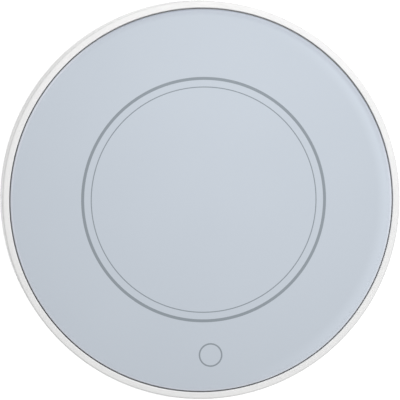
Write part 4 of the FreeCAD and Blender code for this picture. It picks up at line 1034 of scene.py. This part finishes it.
class MUG_WARMER_OT_inner_parts(bpy.types.Operator):
    """Finishes for the CAD parts that stay: heater, boards, wires, plugs and fixings"""

    bl_idname = "mug_warmer.inner_parts"
    bl_label = "Inner parts"

    def execute(self, context):
        slots = {part["node"]: part["material_slot"] for part in frame["record"]["subparts"]}
        for name, node in sorted(frame["nodes"].items()):
            if node.hide_render:
                continue
            node.data.materials.clear()
            node.data.materials.append(finish_named(slots[name]))
        return {"FINISHED"}


class MUG_WARMER_OT_stage(bpy.types.Operator):
    """Floor, backdrop, lamp and camera"""

    bl_idname = "mug_warmer.stage"
    bl_label = "Stage"

    def execute(self, context):
        stage = context.scene.warmer_stage
        make_floor(stage)
        make_light(stage)
        make_camera(stage)
        context.scene.view_settings.view_transform = "Standard"
        return {"FINISHED"}


def seen(tree):
    """1 where a ray comes straight from the camera, or by way of gloss or clear material."""
    path = add(tree, "LightPath").outputs
    bent = maths(tree, "MAXIMUM", path["Is Glossy Ray"], path["Is Transmission Ray"])
    return maths(tree, "MAXIMUM", path["Is Camera Ray"], bent)


def make_floor(stage):
    """A wide floor that shows white to the camera and keeps a soft shadow. From below it is clear."""
    bm = bmesh.new()
    bmesh.ops.create_circle(bm, cap_ends=True, segments=96, radius=6)
    mesh = bpy.data.meshes.new("floor")
    bm.to_mesh(mesh)
    bm.free()
    floor = bpy.data.objects.new("floor", mesh)
    bpy.context.scene.collection.objects.link(floor)
    finish, tree, inputs, place = new_finish("white_floor")
    tint = blend(tree, noise(tree, place, 40.0), (0.81, 0.81, 0.81), (0.83, 0.83, 0.83))
    glow = product(tree, seen(tree), stage.floor_white)
    feed(tree, inputs, {"Base Color": tint, "Roughness": 0.9, "Specular IOR Level": 0.0})
    feed(tree, inputs, {"Emission Color": (1, 1, 1, 1), "Emission Strength": glow})
    back = add(tree, "NewGeometry").outputs["Backfacing"]
    below = maths(tree, "MAXIMUM", back, add(tree, "LightPath").outputs["Transparent Depth"])
    output = tree.nodes["Material Output"].inputs["Surface"]
    sides = {0: maths(tree, "MINIMUM", below, 1.0), 1: output.links[0].from_socket}
    sides[2] = add(tree, "BsdfTransparent").outputs[0]
    tree.links.new(add(tree, "MixShader", sides).outputs[0], output)
    mesh.materials.append(finish)


def make_light(stage):
    """Even light from all round, white to the camera, a large soft lamp at the upper right and a small one
    above. The small one shows in no reflection."""
    world = bpy.data.worlds.new("white_room")
    bpy.context.scene.world = world
    world.use_nodes = True
    tree = world.node_tree
    tree.nodes.clear()
    strength = span(tree, seen(tree), 0.0, 1.0, stage.sky, 1.0)
    room = add(tree, "Background", {"Color": (1, 1, 1, 1), "Strength": strength})
    tree.links.new(room.outputs[0], add(tree, "OutputWorld").inputs["Surface"])
    for name, side, power, place, reflected in (
        ("soft_lamp", stage.lamp_size, stage.lamp_power, stage.lamp_place, True),
        ("top_lamp", stage.lamp_size / 4, stage.top_power, stage.top_place, False),
    ):
        light = bpy.data.lights.new(name, "AREA")
        light.shape, light.size, light.energy = "SQUARE", side, power
        lamp = bpy.data.objects.new(name, light)
        lamp.location = place
        aim = Vector((0, 0, glass_high.z)) - lamp.location
        lamp.rotation_euler = aim.to_track_quat("-Z", "Y").to_euler()
        bpy.context.scene.collection.objects.link(lamp)
        if not reflected:
            lamp.visible_camera = lamp.visible_glossy = False


def make_camera(stage):
    """Looks down at the middle of the glass from almost straight above."""
    lean = Vector((math.sin(stage.lean_x), math.sin(stage.lean_y), 0))
    back = Vector((lean.x, lean.y, math.sqrt(1 - lean.length_squared)))
    up = (Vector((0, 1, 0)) - back * back.y).normalized()
    right = up.cross(back)
    turn = Matrix.Rotation(stage.roll, 4, "Z")
    level = Matrix((right, up, back)).transposed().to_4x4()
    data = bpy.data.cameras.new("camera")
    data.sensor_width, data.lens = 36, stage.lens
    data.shift_x, data.shift_y = stage.shift_x, stage.shift_y
    data.clip_start, data.clip_end = 0.1, 20
    camera = bpy.data.objects.new("camera", data)
    place = Vector((0, 0, glass_high.z)) + back * stage.distance
    camera.matrix_world = Matrix.Translation(place) @ level @ turn
    bpy.context.scene.collection.objects.link(camera)
    bpy.context.scene.camera = camera


OPERATORS = (
    MUG_WARMER_OT_glass_top,
    MUG_WARMER_OT_shells,
    MUG_WARMER_OT_underside,
    MUG_WARMER_OT_inlet,
    MUG_WARMER_OT_inner_parts,
    MUG_WARMER_OT_stage,
)


class MUG_WARMER_PT_panel(bpy.types.Panel):
    """Builders and sizes of the mug warmer"""

    bl_idname = "MUG_WARMER_PT_panel"
    bl_label = "Mug warmer"
    bl_space_type = "VIEW_3D"
    bl_region_type = "UI"
    bl_category = "Mug warmer"

    def draw(self, context):
        for operator in OPERATORS:
            self.layout.operator(operator.bl_idname)
        for name, group in SETTINGS.items():
            box = self.layout.box()
            box.label(text=group.__doc__)
            for size in group.__annotations__:
                box.prop(getattr(context.scene, name), size)


def register():
    """Adds the settings, the builders and the panel."""
    for name, group in SETTINGS.items():
        bpy.utils.register_class(group)
        setattr(bpy.types.Scene, name, PointerProperty(type=group))
    for part in (*OPERATORS, MUG_WARMER_PT_panel):
        bpy.utils.register_class(part)


def unregister():
    """Takes away what register added."""
    for part in reversed((*OPERATORS, MUG_WARMER_PT_panel)):
        bpy.utils.unregister_class(part)
    for name, group in reversed(SETTINGS.items()):
        delattr(bpy.types.Scene, name)
        bpy.utils.unregister_class(group)


def main():
    """Builds everything in order."""
    register()
    bpy.ops.mug_warmer.glass_top()
    bpy.ops.mug_warmer.shells()
    bpy.ops.mug_warmer.underside()
    bpy.ops.mug_warmer.inlet()
    bpy.ops.mug_warmer.inner_parts()
    bpy.ops.mug_warmer.stage()


if __name__ == "__main__":
    main()
